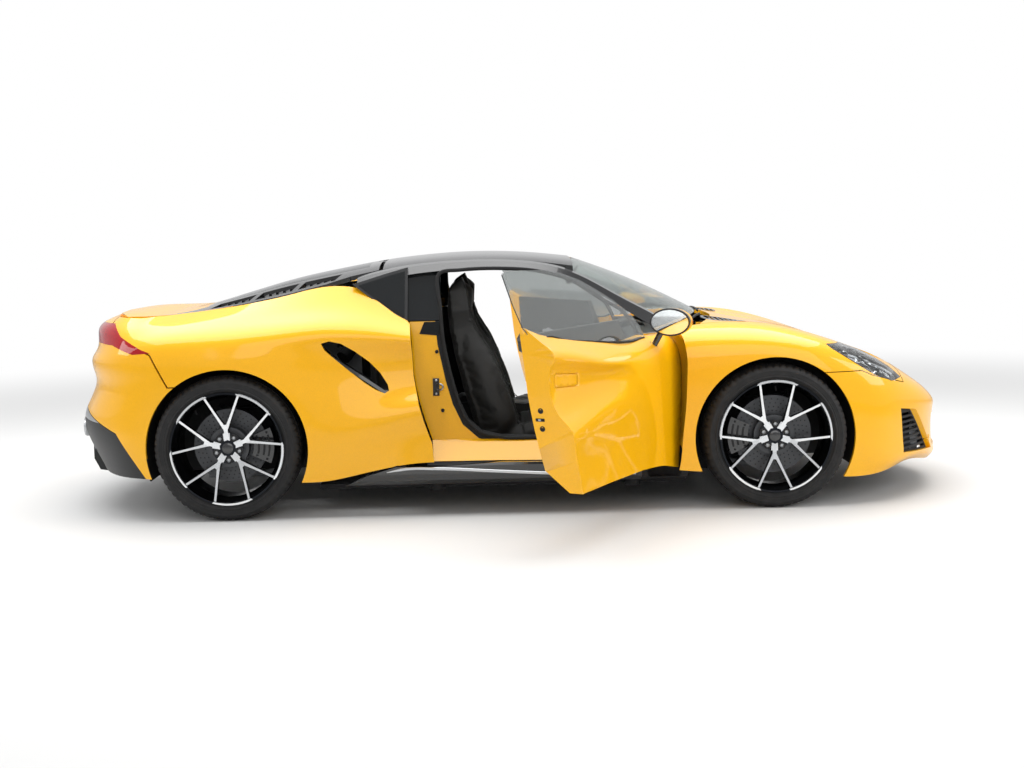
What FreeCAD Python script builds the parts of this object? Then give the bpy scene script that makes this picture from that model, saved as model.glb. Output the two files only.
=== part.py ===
import FreeCAD, Part
import math
import os

V = FreeCAD.Vector

# Driving dimensions, in mm: +X to the nose, +Y to the left, +Z up, on the ground
LENGTH = 4413.0
WIDTH = 1895.0
HEIGHT = 1226.0
WHEELBASE_SHARE = 0.5835
FRONT_OVERHANG_SHARE = 0.223
FRONT_TYRE_RADIUS = 340.0
REAR_TYRE_RADIUS = 342.0
FRONT_TYRE_WIDTH = 245.0
REAR_TYRE_WIDTH = 295.0
RIM_RADIUS = 271.0
ARCH_RADIUS = 380.0
DOOR_OPEN = 62.0

# Thicknesses
PANEL = 22.0
SHEET = 4.0
GLASS = 5.0
WALL = 12.0
SILL_SKIN = 4.0
TUB_WALL = 15.0

# Clearances: shut lines, moving pieces, seated pieces, running fits, and cutters' overrun
SHUT_GAP = 6.0
CLEARANCE = 6.0
SEAT_GAP = 0.3
RUNNING_GAP = 0.08
OVERRUN = 400.0
OVERLAP = 1.0

# Full size of the drawing that the outlines below were measured on
DRAWN_LENGTH = 4413.0
DRAWN_WIDTH = 1895.0
DRAWN_HEIGHT = 1226.0

# Axles and wheel planes
FRONT_FLANK_INSET = 20.0
REAR_FLANK_INSET = 8.0
FRONT_AXLE = LENGTH / 2 - LENGTH * FRONT_OVERHANG_SHARE
REAR_AXLE = FRONT_AXLE - LENGTH * WHEELBASE_SHARE
FRONT_TRACK_HALF = WIDTH / 2 - FRONT_TYRE_WIDTH / 2 - FRONT_FLANK_INSET
REAR_TRACK_HALF = WIDTH / 2 - REAR_TYRE_WIDTH / 2 - REAR_FLANK_INSET
ARCH_DROP = 5.0

# Interfaces to the workshop: jacking pads under the sills, and the tow eye's thread
JACK_FRONT = 560.0
JACK_REAR = -380.0
JACK_Y = 730.0
JACK_RADIUS = 35.0
JACK_LOW = 98.0
JACK_RISE = 60.0
TOW_EYE_Y = 495.0
TOW_EYE_RADIUS = 9.0
TOW_EYE_DEPTH = 50.0

# Door hinges: axis, pins and arms
DOOR_HINGE_X = 700.0 * LENGTH / DRAWN_LENGTH
DOOR_HINGE_Y = 862.0 * WIDTH / DRAWN_WIDTH
DOOR_HINGE_HEIGHTS = (400.0, 640.0)
HINGE_PIN_RADIUS = 8.0
HINGE_EYE_RADIUS = 16.0
HINGE_PIN_REACH = 30.0
HINGE_ARM_HALF = 18.0
HINGE_ARM_WIDTH = 26.0
HINGE_ARM_LENGTH = 150.0
HINGE_POCKET_RADIUS = 132.0
HINGE_POCKET_ANGLES = (-125.0, -85.0, -35.0, 10.0)
DOOR_FRONT_REACH = 53.0
DOOR_FRONT_INSET = 15.0

# Lid hinges: axis, height, half width between pins
BONNET_HINGE_X = 905.0
BONNET_HINGE_Y = 570.0
BONNET_HINGE_Z = 848.0
BONNET_EAR = (-9.0, 66.0, 8.0, 15.0)
BONNET_STAY = (9.0, 10.0, 24.0)
TAILGATE_HINGE_X = -638.0
TAILGATE_HINGE_Y = 150.0
TAILGATE_HINGE_Z = 1180.0
TAILGATE_EAR = (-34.0, 6.0, 7.0)
TAILGATE_LUG = (-8.0, 18.0, 5.0)
TAILGATE_LUG_STEP = 18.0
TAILGATE_POCKET = (-28.0, 6.0, 30.0)
LID_PIN_RADIUS = 4.0
LID_EAR_DROP = 7.0
LID_EAR_RISE = 6.0

# Panels round the tail: centre and heading of each profile, then its points
# as the step outward and the height
TAIL_PROFILES = [
    ((-2150, 0), (-1.0, 0.0),
     [(-40, 200), (48, 370), (52, 475), (5, 560), (-22, 640), (0, 740), (-40, 800), (-35, 890),
      (-150, 952)]),
    ((-2100, 420), (-0.96, 0.28),
     [(-45, 200), (35, 370), (38, 475), (0, 560), (-25, 640), (0, 740), (-45, 800), (-40, 888),
      (-150, 950)]),
    ((-1975, 720), (-0.75, 0.66),
     [(-40, 200), (15, 360), (18, 470), (0, 560), (-15, 640), (0, 745), (-25, 800), (-45, 880),
      (-140, 950)]),
    ((-1830, 870), (-0.35, 0.94),
     [(-15, 205), (12, 350), (10, 470), (5, 560), (0, 640), (5, 740), (-5, 810), (-60, 880),
      (-200, 948)]),
]

# Profiles along the flank: the place along the car, then half width and height
FLANK_PROFILES = [
    (-1700, [(920, 205), (926, 345), (927, 470), (928, 580), (928, 680), (925, 775), (895, 850),
             (790, 905), (620, 955)]),
    (-1352, [(935, 190), (940, 330), (943, 480), (945, 600), (942, 700), (935, 790), (905, 868),
             (780, 930), (610, 990)]),
    (-1100, [(935, 180), (938, 320), (940, 460), (938, 590), (932, 700), (925, 800), (905, 885),
             (770, 950), (615, 1035)]),
    (-900, [(920, 175), (925, 300), (926, 430), (915, 570), (905, 690), (905, 800), (905, 893),
            (770, 965), (625, 1080)]),
    (-700, [(918, 215), (925, 330), (926, 470), (895, 585), (872, 690), (878, 790), (893, 872),
            (780, 950), (655, 1062)]),
    (-475, [(937, 257), (926, 400), (925, 525), (862, 591), (836, 690), (838, 775), (868, 832),
            (805, 880), (740, 930)]),
    (-250, [(928, 256), (918, 390), (915, 545), (862, 610), (842, 690), (848, 755), (880, 800),
            (820, 850), (765, 888)]),
    (-65, [(925, 255), (914, 390), (905, 565), (868, 630), (850, 690), (862, 735), (890, 768),
           (838, 815), (785, 858)]),
    (150, [(922, 252), (912, 380), (905, 560), (885, 625), (872, 680), (878, 720), (888, 750),
           (845, 795), (792, 835)]),
    (400, [(920, 245), (912, 370), (910, 500), (903, 620), (897, 680), (890, 720), (875, 757),
           (845, 785), (798, 808)]),
    (600, [(917, 225), (914, 350), (914, 480), (912, 600), (907, 685), (897, 735), (878, 775),
           (842, 805), (785, 824)]),
    (760, [(915, 190), (915, 330), (916, 480), (916, 600), (912, 690), (903, 750), (880, 797),
           (835, 832), (760, 850)]),
    (950, [(918, 180), (920, 330), (922, 480), (922, 600), (920, 695), (910, 760), (885, 810),
           (815, 848), (700, 868)]),
    (1222, [(922, 180), (925, 330), (927, 480), (927, 600), (925, 700), (914, 762), (885, 805),
            (800, 842), (660, 858)]),
    (1430, [(915, 150), (922, 300), (924, 430), (922, 540), (915, 640), (900, 715), (870, 762),
            (800, 792), (660, 808)]),
    (1590, [(885, 135), (897, 260), (900, 380), (898, 480), (890, 570), (875, 640), (845, 695),
            (780, 735), (655, 752)]),
]

# Panels round the nose, as at the tail
NOSE_PROFILES = [
    ((1750, 850), (0.35, 0.94),
     [(-35, 140), (-5, 200), (0, 300), (0, 400), (-5, 480), (-15, 550), (-40, 620), (-100, 680),
      (-190, 715)]),
    ((1950, 700), (0.72, 0.69),
     [(-60, 175), (-15, 215), (-22, 300), (-28, 380), (-32, 440), (-40, 500), (-70, 560),
      (-130, 615), (-200, 660)]),
    ((2110, 420), (0.94, 0.34),
     [(-30, 140), (0, 178), (-8, 250), (-12, 330), (-8, 400), (-10, 445), (-50, 500), (-120, 555),
      (-210, 615)]),
    ((2206, 0), (1.0, 0.0),
     [(-26, 130), (0, 170), (-12, 240), (-18, 312), (-6, 385), (0, 412), (-45, 462), (-130, 525),
      (-235, 594)]),
]
PROFILE_SPACING = [0, 120, 230, 320, 410, 500, 570, 640, 760]
GUIDE_ROW = 4
ROUND_COUNT = 60
RISE_COUNT = 19

# Upper surface over the centre: the place along the car, then half width and
# height from the middle out to the edge
BONNET_PROFILES = [
    (760, [(0, 925), (280, 922), (540, 895), (760, 850)]),
    (950, [(0, 893), (260, 890), (500, 878), (700, 868)]),
    (1222, [(0, 842), (240, 841), (480, 843), (660, 858)]),
    (1430, [(0, 797), (230, 796), (460, 796), (655, 808)]),
    (1590, [(0, 752), (220, 750), (440, 746), (650, 752)]),
    (1750, [(0, 697), (210, 695), (420, 690), (640, 690)]),
    (1880, [(0, 640), (180, 638), (340, 632), (540, 622)]),
    (2000, [(0, 580), (150, 576), (300, 565), (480, 550)]),
]
ROOF_PROFILES = [
    (340, [(0, 1186), (300, 1180), (470, 1163), (580, 1132)]),
    (100, [(0, 1214), (300, 1208), (480, 1192), (600, 1160)]),
    (-200, [(0, 1225), (300, 1219), (480, 1203), (610, 1172)]),
    (-450, [(0, 1212), (300, 1206), (480, 1190), (615, 1156)]),
    (-650, [(0, 1190), (300, 1184), (480, 1166), (622, 1128)]),
    (-830, [(0, 1160), (300, 1153), (480, 1134), (628, 1095)]),
    (-1109, [(0, 1106), (300, 1099), (480, 1079), (615, 1033)]),
    (-1352, [(0, 1040), (300, 1034), (480, 1019), (610, 990)]),
    (-1550, [(0, 984), (300, 982), (480, 976), (615, 965)]),
    (-1700, [(0, 958), (300, 957), (480, 956), (620, 955)]),
    (-1845, [(0, 966), (300, 965), (480, 962), (640, 953)]),
    (-2040, [(0, 955), (300, 955), (480, 952), (660, 945)]),
]

# Windscreen, from its foot to its head, each from the middle out to the pillar
SCREEN_ROWS = [
    [(955, 0, 903), (935, 240, 900), (865, 480, 888), (735, 690, 862)],
    [(760, 0, 1003), (740, 225, 1000), (675, 445, 987), (560, 645, 955)],
    [(545, 0, 1100), (527, 210, 1096), (465, 415, 1082), (365, 608, 1052)],
    [(325, 0, 1182), (310, 195, 1178), (262, 385, 1163), (195, 565, 1132)],
]

# Roof rail from the foot of the screen pillar back to the fastback: the place
# along the car, lower and upper height, outer and inner half width
RAIL_SECTIONS = [
    (700, 841, 905, 738, 672),
    (560, 925, 985, 700, 634),
    (446, 996, 1050, 672, 612),
    (281, 1085, 1135, 655, 584),
    (114, 1135, 1176, 645, 562),
    (-52, 1150, 1190, 640, 552),
    (-405, 1138, 1182, 640, 552),
    (-591, 1112, 1158, 645, 560),
    (-745, 1075, 1120, 648, 575),
]

# Mirror housing: the place along the car, half width and half height
MIRROR_SECTIONS = [(545, 98, 64), (570, 97, 64), (610, 88, 57), (640, 66, 42), (656, 36, 22)]
MIRROR_CENTRE = (958, 897)
MIRROR_STALK_FOOT = (600, 850, 772)
MIRROR_STALK_HEAD = (595, 910, 872)
MIRROR_STALK_RADIUS = 14.0

# Seen from the side: the place along the car and the height
DOOR_OUTLINE = [
    (-385, 257), (-393, 342), (-427, 441), (-451, 528), (-464, 591), (-476, 660), (-480, 767),
    (-484, 832), (-490, 940), (-400, 908), (-264, 881), (14, 847), (240, 826), (484, 810), (640, 819),
    (830, 833), (830, 185), (640, 205), (520, 212), (400, 240), (311, 250), (-77, 256),
]
# Reach of the door's front edge ahead of its hinge, up the car
DOOR_FRONT = [(150, 64), (187, 76), (356, 97), (492, 112), (627, 118), (735, 114), (817, 87), (950, 60)]
# Door handle, cabin opening and the black band round it
HANDLE_OUTLINE = [(-420, 702), (-416, 742), (-408, 748), (-228, 732), (-220, 724), (-222, 690),
                  (-230, 684), (-412, 695)]
OPENING_OUTLINE = [
    (-337, 1133), (-342, 964), (-330, 799), (-296, 633), (-265, 521), (-223, 431), (-159, 374),
    (-71, 352), (117, 345), (480, 345), (570, 420), (610, 560), (620, 700), (590, 815),
    (520, 930), (420, 990), (281, 1080), (114, 1130), (-52, 1145), (-250, 1142),
]
GLASS_OUTLINE = [
    (-502, 934), (-505, 1155), (-485, 1163), (-307, 1166), (-119, 1160), (29, 1144), (203, 1105),
    (341, 1056), (480, 1000), (600, 930), (640, 880), (650, 800), (-400, 800),
    (-474, 866), (-476, 908),
]
QUARTER_GLASS_OUTLINE = [(-516, 930), (-513, 1145), (-600, 1122), (-735, 1082), (-643, 1012), (-560, 955)]
LAMP_OUTLINE = [(1474, 765), (1592, 758), (1713, 700), (1828, 630), (1882, 580), (1807, 574),
                (1703, 614), (1592, 683), (1500, 742)]
TAIL_LAMP_OUTLINE = [(-2300, 905), (-1915, 925), (-1854, 869), (-1736, 812), (-1690, 797),
                     (-1780, 790), (-1900, 828), (-2300, 835)]
INTAKE_OUTLINE = [(-899, 824), (-861, 834), (-808, 822), (-745, 783), (-681, 733), (-630, 678),
                  (-596, 623), (-590, 594), (-611, 582), (-653, 600), (-706, 636), (-774, 692),
                  (-842, 753), (-884, 792)]
QUARTER_OUTLINE = [
    (-385, 240), (-385, 257), (-393, 342), (-427, 441), (-451, 528), (-464, 591), (-476, 660),
    (-480, 767), (-484, 832), (-490, 900), (-505, 915), (-560, 945), (-643, 1006), (-740, 1076),
    (-780, 1110), (-1000, 1200), (-1930, 1200), (-1930, 905), (-1690, 790), (-1610, 640), (-1352, 640),
    (-1352, 120), (-880, 120), (-700, 205), (-559, 246), (-450, 240),
]
WING_OUTLINE = [(700, 120), (700, 1000), (1886, 1000), (1886, 560), (1700, 612), (1640, 638),
                (1430, 638), (1430, 120)]
NOSE_OUTLINE = [(1430, 60), (1430, 634), (1640, 634), (1700, 608), (1886, 556), (1890, 556),
                (1890, 1000), (2400, 1000), (2400, 60)]
TAILGATE_EDGE = [(-646, 0), (-646, 545), (-780, 560), (-900, 600), (-1352, 598), (-1600, 604), (-1740, 634),
                 (-1858, 616), (-1948, 366), (-1992, 0)]
TAILGATE_PANE = [(-700, 440), (-1470, 440), (-1470, -440), (-700, -440)]
LOUVRE_FRAME_EDGE = [(-646, 0), (-646, 545), (-780, 560), (-900, 600), (-1352, 598), (-1600, 603),
                     (-1700, 600), (-1500, 470), (-1500, 0)]
LOUVRE_SLOTS = [
    [(-830, 480), (-1010, 480), (-1040, 572), (-860, 568)],
    [(-1040, 480), (-1220, 480), (-1250, 572), (-1070, 572)],
    [(-1250, 480), (-1430, 480), (-1470, 572), (-1280, 572)],
]
ROOF_EDGE = [(300, 535), (-626, 545), (-626, -545), (300, -535)]
BONNET_FOOT = [(890, 712), (930, 600), (985, 400), (1010, 200), (1016, 0)]
BONNET_VENT = [(950, 395), (945, 500), (985, 580), (1060, 600), (1130, 560), (1140, 480), (1090, 410),
               (1020, 380)]
VENT_SLOTS = [(x, x + 16) for x in range(955, 1135, 24)]
BUMPER_OUTLINE = [(-2400, 520), (-2400, 1100), (-1936, 1100), (-1936, 902), (-1696, 785), (-1616, 634),
                  (-1500, 634), (-1500, 150), (-1701, 150), (-1888, 416), (-2139, 509)]
DIFFUSER_OUTLINE = [(-2400, 516), (-2139, 505), (-1884, 411), (-1701, 146), (-2400, 146)]
DIFFUSER_MOUTH = [(-1, 212), (560, 212), (520, 318), (-1, 330)]
DIFFUSER_TRAY = [(-1560, 140), (-2172, 332), (-2172, 340), (-1560, 148)]
DIFFUSER_FIN = [(-1620, 128), (-2070, 186), (-2140, 322), (-2140, 331), (-1620, 162)]
DIFFUSER_FIN_PLACES = (0.0, 150.0, 300.0, 450.0)
DIFFUSER_FIN_HALF = 4.0
TAIL_ROW = 6
EXHAUST_PLACE = (400, 400)
EXHAUST_RADIUS = 46.0
EXHAUST_WALL = 4.0
EXHAUST_ENDS = (-1990, -2144)

# Sill and skirt, seen from the front, and the skirt seen from the side
SILL_PROFILE = [(690, 105), (860, 150), (886, 200), (888, 238), (806, 306), (762, 343), (690, 343)]
SILL_SKIN_LOW = 239.0
SKIRT_PROFILE = [(840, 140), (900, 168), (916, 200), (917, 236), (910, 252), (870, 252), (860, 150)]
SKIRT_OUTLINE = [(-860, 118), (-700, 197), (-559, 238), (-450, 233), (-385, 233), (-77, 249),
                 (311, 243), (400, 233), (520, 205), (590, 198), (590, 140), (-640, 140)]

# Nose openings, seen from the front, and the grille's slats
CORNER_INTAKE = [(470, 205), (760, 225), (760, 440), (640, 420)]
CENTRE_INTAKE = [(-1, 205), (440, 215), (400, 370), (-1, 372)]
NOSE_ZONE = 1700
GRILLE_SLATS = [(z, z + 15) for z in range(220, 420, 25)]
GRILLE_DEPTH = 10.0
GRILLE_LAP = 14.0
GRILLE_BAR = 8.0

# Depths of the lamps
LAMP_DEPTH = 60.0
LENS = 4.0
LAMP_BOWL = 3.0
TAIL_LAMP_DEPTH = 30.0
TAIL_LAMP_INNER = 150.0

# Side intake: depth of its duct and its vane, seen from the side
DUCT_STEP = 2.0
DUCT_DEPTH = 60.0
DUCT_LAP = 14.0
VANE_DEPTHS = (8.0, 50.0)
VANE_OUTLINE = [(-905, 800), (-560, 560), (-568, 548), (-913, 788)]

# Door: shut faces, hollow and handle
DOOR_INNER_LINE = [(780, 150), (780, 257), (715, 905), (715, 1000)]
DOOR_CORE_ENDS = (-800, 1100)
DOOR_HOLLOW_FRONT = 640
DOOR_HOLLOW_RIM = 30.0
DOOR_HOLLOW_WALL = 14.0
DOOR_HOLLOW_SILL = 40.0
DOOR_SIDE_FLAT = 600.0
HANDLE_GROOVE = 2.5
HANDLE_DEPTH = 5.0
TRIM_SECTION = [(779.5, 257), (714.5, 905), (690, 905), (690, 690), (650, 640), (650, 560), (700, 530),
                (735, 257)]
TRIM_STEP = 18.0
SIDE_WINDOW_LINE = [(801, 800), (774, 860), (754, 905), (704, 1010), (645, 1166), (632, 1200)]

# Door jamb, seen from the front, and the width of the black band in it
JAMB_SECTION = [(774, 257), (709, 905), (640, 905), (700, 257)]
JAMB_LAP = 4.0
BAND_WIDTH = 34.0
ARCH_LINER_STEP = 22.0

# Cabin frame: headers as rear, front, half width, lower and upper; post and quarter-window backing
SCREEN_HEADER = (262, 298, 590, 1110, 1150)
TAIL_HEADER = (-700, -660, 600, 1080, 1130)
POST_OUTLINE = [(-560, 905), (-512, 905), (-512, 1150), (-545, 1150)]
POST_DEPTH = 45.0
BACKING_DEPTH = 30.0
BACKING_LAP = 14.0
BACKING_RIM = 16.0
RAIL_CROWN = 8

# Tub: rear, front, half width, lower and upper
FLOOR_LOW = 105
FLOOR_TOP = 125
TUNNEL_TOP = 330
BULKHEAD_FRONT = -665
FLOOR_PAN = (-950, 820, 700, FLOOR_LOW, FLOOR_TOP)
SILL_ENDS = (-420, 812)
TUNNEL = (-690, 800, 110, FLOOR_TOP, TUNNEL_TOP)
FRONT_WALL = (800, 820, 690, FLOOR_LOW, 780)
FOOT_BOX = (820, 960, 480, FLOOR_TOP, 600)
FOOT_ROOM = (790, 948, 468, 137, 588)
REAR_WALL = (-690, BULKHEAD_FRONT, 690, FLOOR_LOW, 890)
RAIL_INNER = 350
RAIL_OUTER = 430
FRONT_RAIL = (948, 2000, 180, 300)
REAR_RAIL = (-1960, -690, 265, 350)
FRONT_CROSS = (1960, 2000, 520, 180, 340)
REAR_CROSS = (-1960, -1920, 560, 265, 350)

# Luggage tubs and engine: rear, front, half width, lower and upper
FRONT_LUGGAGE = (1010, 1780, 425, 300, 560)
REAR_LUGGAGE = (-1960, -1420, 425, 350, 760)
ENGINE = (-1300, -760, 350, 200, 760)

# Wheel arch liners: radius, inner half widths front and rear, outer half width, lower edge
LINER_RADIUS = 400.0
LINER_INNER_FRONT = 480.0
LINER_INNER_REAR = 560.0
LINER_OUTER = 880.0
LINER_LOW = 190.0

# Seat stations up its front face: place along the car, height, the face's lean, half width,
# bolster height and width, and thickness
SEAT_CENTRE = 370
CUSHION_STATIONS = [
    (325, 285, 60, 205, 10, 60, 60), (300, 318, 85, 222, 45, 66, 120), (220, 326, 95, 232, 78, 72, 185),
    (110, 318, 95, 235, 98, 76, 180), (20, 300, 95, 232, 96, 76, 165), (-60, 290, 95, 225, 70, 70, 155),
]
BACK_STATIONS = [
    (-20, 290, 20, 215, 60, 66, 120), (-60, 400, 18, 232, 90, 74, 120), (-127, 582, 18, 238, 96, 80, 110),
    (-178, 760, 14, 232, 74, 74, 100), (-205, 880, 8, 196, 34, 56, 95), (-212, 960, 2, 150, 10, 44, 95),
    (-206, 1060, -4, 122, 5, 36, 100), (-228, 1128, 30, 100, 3, 30, 70),
]
SEAT_BASE = (-40, 290, 180, FLOOR_TOP, 190)

# Dash, console, scuttle and rear trim, seen from the side, with half widths
DASH_OUTLINE = [(570, 690), (590, 785), (660, 805), (780, 790), (800, 775), (800, 600), (640, 550),
                (575, 590)]
DASH_HALF = 640.0
HOOD_OUTLINE = [(560, 700), (548, 770), (572, 812), (640, 830), (720, 812), (740, 780), (600, 690)]
HOOD_ENDS = (240, 500)
CONSOLE_OUTLINE = [(-560, TUNNEL_TOP), (430, TUNNEL_TOP), (560, 580), (640, 640), (575, 680), (500, 640),
                   (330, 470), (60, 425), (-70, 440), (-300, 440), (-560, 420)]
CONSOLE_HALF = 105.0
REAR_TRIM_OUTLINE = [(-665, 125), (-630, 125), (-590, 420), (-604, 860), (-640, 880), (-665, 880)]
REAR_TRIM_HALF = 600.0
SCUTTLE = (822, 1000, 660, 780, 815)

# Steering: centre of the wheel, its tilt, and the sizes of wheel and column
STEERING_CENTRE = (465, 370, 627)
STEERING_TILT = 68.0
WHEEL_RING_RADIUS = 178.0
WHEEL_GRIP_RADIUS = 16.0
WHEEL_HUB = (52.0, -36.0, 14.0)
WHEEL_SPOKE = (18.0, -14.0, 2.0)
SHAFT_RADIUS = 12.0
SHAFT_ENDS = (-140.0, -30.0)
SHAFT_SEAT = 2.0
COLUMN_RADIUS = 40.0
COLUMN_ENDS = (-242.0, -42.0)

# Tyre and rim sections, from the tread or rim radius and from the wheel's faces
TYRE_SHOULDERS = [(22.0, 4.0), (4.0, 24.0), (0.0, 50.0)]
BEAD_RADIUS = 12.0
BEAD_INSET = 14.0
BEAD_DEPTH = 40.0
FLANGE_DROP = 6.0
FLANGE_INSET = 8.0
BARREL_DROPS = [(30.0, 60.0), (36.0, 80.0)]
RIM_LIP_DROP = 14.0
WHEEL_FORKS = 5
FORK_HALF_ANGLE = 18.0
FRONT_FORK_PHASE = 52.7
REAR_FORK_PHASE = 93.7

# Spokes and hub from the wheel's outer face: radius, half width, recess of the face, and depth
STEM_STATIONS = [(34.0, 20.0, 44.0, 30.0), (78.0, 13.0, 42.0, 28.0), (112.0, 11.0, 37.0, 26.0)]
ARM_STATIONS = [(84.0, 11.0, 42.0, 28.0), (160.0, 7.5, 30.0, 24.0), (262.0, 7.0, 12.0, 22.0)]
SPOKE_TAPER_SHARE = 0.7
RIM_ARC = (255.0, 267.0, 12.0, 26.0)
HUB_DISC_RADIUS = 72.0
HUB_DISC_RECESS = 74.0
HUB_DISC_DEPTH = 30.0

# Brakes, hubs and uprights
HUB_RADIUS = 34.0
BALL_RADIUS = 9.0
UPRIGHT_HALF = 140.0
KINGPIN_INSET = 70.0
FRONT_DISC_RADIUS = 185.0
REAR_DISC_RADIUS = 175.0
DISC_DEPTH = 30.0
DISC_INNER = -20.0
HAT_RADIUS = 95.0
CALIPER_RISE = 34.0
CALIPER_DROP = 62.0
CALIPER_GAP = 6.0
CALIPER_ENDS = (-53.0, 43.0)
CALIPER_SPAN = 24.0
UPRIGHT_SIZE = (110.0, 34.0)
HUB_NOSE = 14.0
BRIDGE_SIZE = (38.0, 60.0)
BRIDGE_PLACE = -86.0
BRIDGE_SHORT = 30.0
BALL_SOCKET = 30.0

# Wishbones
ARM_POST = (360.0, 20.0, 420.0)
ARM_POST_INNER = 430.0
ARM_RISE = 20.0
ARM_RADIUS = 11.0
ARM_SPREAD = 150.0
ARM_ROOT = 445.0
BOSS_RADIUS = 24.0
BOSS_DEPTH = 24.0
BALL_PIN_LENGTH = 40.0
BALL_PIN_SHIFT = 14.0


# Shapes shared by the pieces

def drawn(x, y, z):
    """A point of the measured drawing, scaled to the driving dimensions."""
    return V(x * LENGTH / DRAWN_LENGTH, y * WIDTH / DRAWN_WIDTH, z * HEIGHT / DRAWN_HEIGHT)


def slopes_of(values, knots):
    """Slope at each value for a smooth curve through all of them."""
    last = len(values) - 1
    slopes = []
    for i in range(len(values)):
        before = max(i - 1, 0)
        after = min(i + 1, last)
        if before == i or after == i:
            slopes.append((values[after] - values[before]) * (1.0 / (knots[after] - knots[before])))
            continue
        step_in = knots[i] - knots[before]
        step_out = knots[after] - knots[i]
        slope_in = (values[i] - values[before]) * (1.0 / step_in)
        slope_out = (values[after] - values[i]) * (1.0 / step_out)
        slopes.append((slope_in * step_out + slope_out * step_in) * (1.0 / (step_in + step_out)))
    return slopes


def along(values, knots, count):
    """Evenly spaced values on the smooth curve through the given ones."""
    slopes = slopes_of(values, knots)
    result = []
    for step in range(count):
        place = knots[0] + (knots[-1] - knots[0]) * step / (count - 1)
        i = 0
        while i < len(knots) - 2 and place > knots[i + 1]:
            i += 1
        span = knots[i + 1] - knots[i]
        t = (place - knots[i]) / span
        rise = 3 * t ** 2 - 2 * t ** 3
        result.append(values[i] * (1 - rise) + values[i + 1] * rise
                      + slopes[i] * (span * (t ** 3 - 2 * t ** 2 + t))
                      + slopes[i + 1] * (span * (t ** 3 - t ** 2)))
    return result


def lengths_along(points):
    """Running length from the first point to each point."""
    lengths = [0.0]
    for here, there in zip(points, points[1:]):
        lengths.append(lengths[-1] + (there - here).Length)
    return lengths


def fine_grid(rows, spacing, count_round, count_rise, guide):
    """Evenly spaced grid through a few profiles of points."""
    knots = lengths_along([row[guide] for row in rows])
    strips = [along([row[i] for row in rows], knots, count_round) for i in range(len(spacing))]
    return [along([strip[i] for strip in strips], spacing, count_rise) for i in range(count_round)]


def end_knots(count):
    """Knots and their multiplicities for a clamped cubic of so many poles."""
    return list(range(count - 2)), [4] + [1] * (count - 4) + [4]


def spline_surface(grid):
    """Smooth surface steered by a grid of points."""
    surface = Part.BSplineSurface()
    knots_round, times_round = end_knots(len(grid))
    knots_rise, times_rise = end_knots(len(grid[0]))
    surface.buildFromPolesMultsKnots(grid, times_round, times_rise, knots_round, knots_rise,
                                     False, False, 3, 3)
    return surface


def solid_between(outer, inner):
    """Solid between two grids of points of one size."""
    surfaces = [spline_surface(outer), spline_surface(inner)]
    faces = [surface.toShape() for surface in surfaces]
    first_round, last_round, first_rise, last_rise = surfaces[0].bounds()
    for place in (first_round, last_round):
        edges = [surface.uIso(place).toShape() for surface in surfaces]
        faces.append(Part.makeRuledSurface(edges[0], edges[1]))
    for place in (first_rise, last_rise):
        edges = [surface.vIso(place).toShape() for surface in surfaces]
        faces.append(Part.makeRuledSurface(edges[0], edges[1]))
    shell = Part.makeShell(faces)
    shell.sewShape()
    solid = Part.makeSolid(shell)
    if solid.Volume < 0:
        solid.reverse()
    return solid


def moved_inward(grid, depth):
    """The grid moved by a depth along its normals, into the body."""
    last_round = len(grid) - 1
    last_rise = len(grid[0]) - 1
    result = []
    for i in range(len(grid)):
        strip = []
        for j in range(len(grid[0])):
            across = grid[min(i + 1, last_round)][j] - grid[max(i - 1, 0)][j]
            upward = grid[i][min(j + 1, last_rise)] - grid[i][max(j - 1, 0)]
            normal = across.cross(upward)
            normal.normalize()
            strip.append(grid[i][j] + normal * depth)
        result.append(strip)
    return result


def polygon_face(points):
    """Flat face inside a closed line through the points."""
    return Part.Face(Part.makePolygon(points + [points[0]]))


def side_prism(outline, y_from, y_to):
    """Outline seen from the side, pushed through from one half width to another."""
    points = [drawn(x, 0, z) + V(0, y_from, 0) for x, z in outline]
    return polygon_face(points).extrude(V(0, y_to - y_from, 0))


def plan_prism(outline, z_from, z_to):
    """Outline seen from above, pushed through from one height to another."""
    points = [drawn(x, y, 0) + V(0, 0, z_from) for x, y in outline]
    return polygon_face(points).extrude(V(0, 0, z_to - z_from))


def section_prism(outline, x_from, x_to):
    """Outline seen from the front, pushed through along the car."""
    points = [drawn(0, y, z) + V(x_from, 0, 0) for y, z in outline]
    return polygon_face(points).extrude(V(x_to - x_from, 0, 0))


def box(x_from, x_to, y_from, y_to, z_from, z_to):
    """Box between drawn places."""
    low = drawn(x_from, y_from, z_from)
    high = drawn(x_to, y_to, z_to)
    return Part.makeBox(high.x - low.x, high.y - low.y, high.z - low.z, low)


def centred(extents):
    """Box across the middle of the car from its rear, front, half width, lower and upper place."""
    x_from, x_to, half, z_from, z_to = extents
    return box(x_from, x_to, -half, half, z_from, z_to)


def block(centre, low, high):
    """Box from its low and high corners about a centre."""
    size = high - low
    return Part.makeBox(size.x, size.y, size.z, centre + low)


def joined(pieces):
    """The pieces as one solid."""
    result = pieces[0]
    for piece in pieces[1:]:
        result = result.fuse(piece)
    return result


def mirrored(shape):
    """The same piece on the right-hand side."""
    return shape.mirror(V(0, 0, 0), V(0, 1, 0))


def both_sides(shape):
    """The piece and its mirror image, as one compound."""
    return Part.makeCompound([shape, mirrored(shape)])


def across_cylinder(x, z, radius, y_from, y_to):
    """Cylinder that lies across the car."""
    return Part.makeCylinder(radius, y_to - y_from, V(x, y_from, z), V(0, 1, 0))


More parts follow.
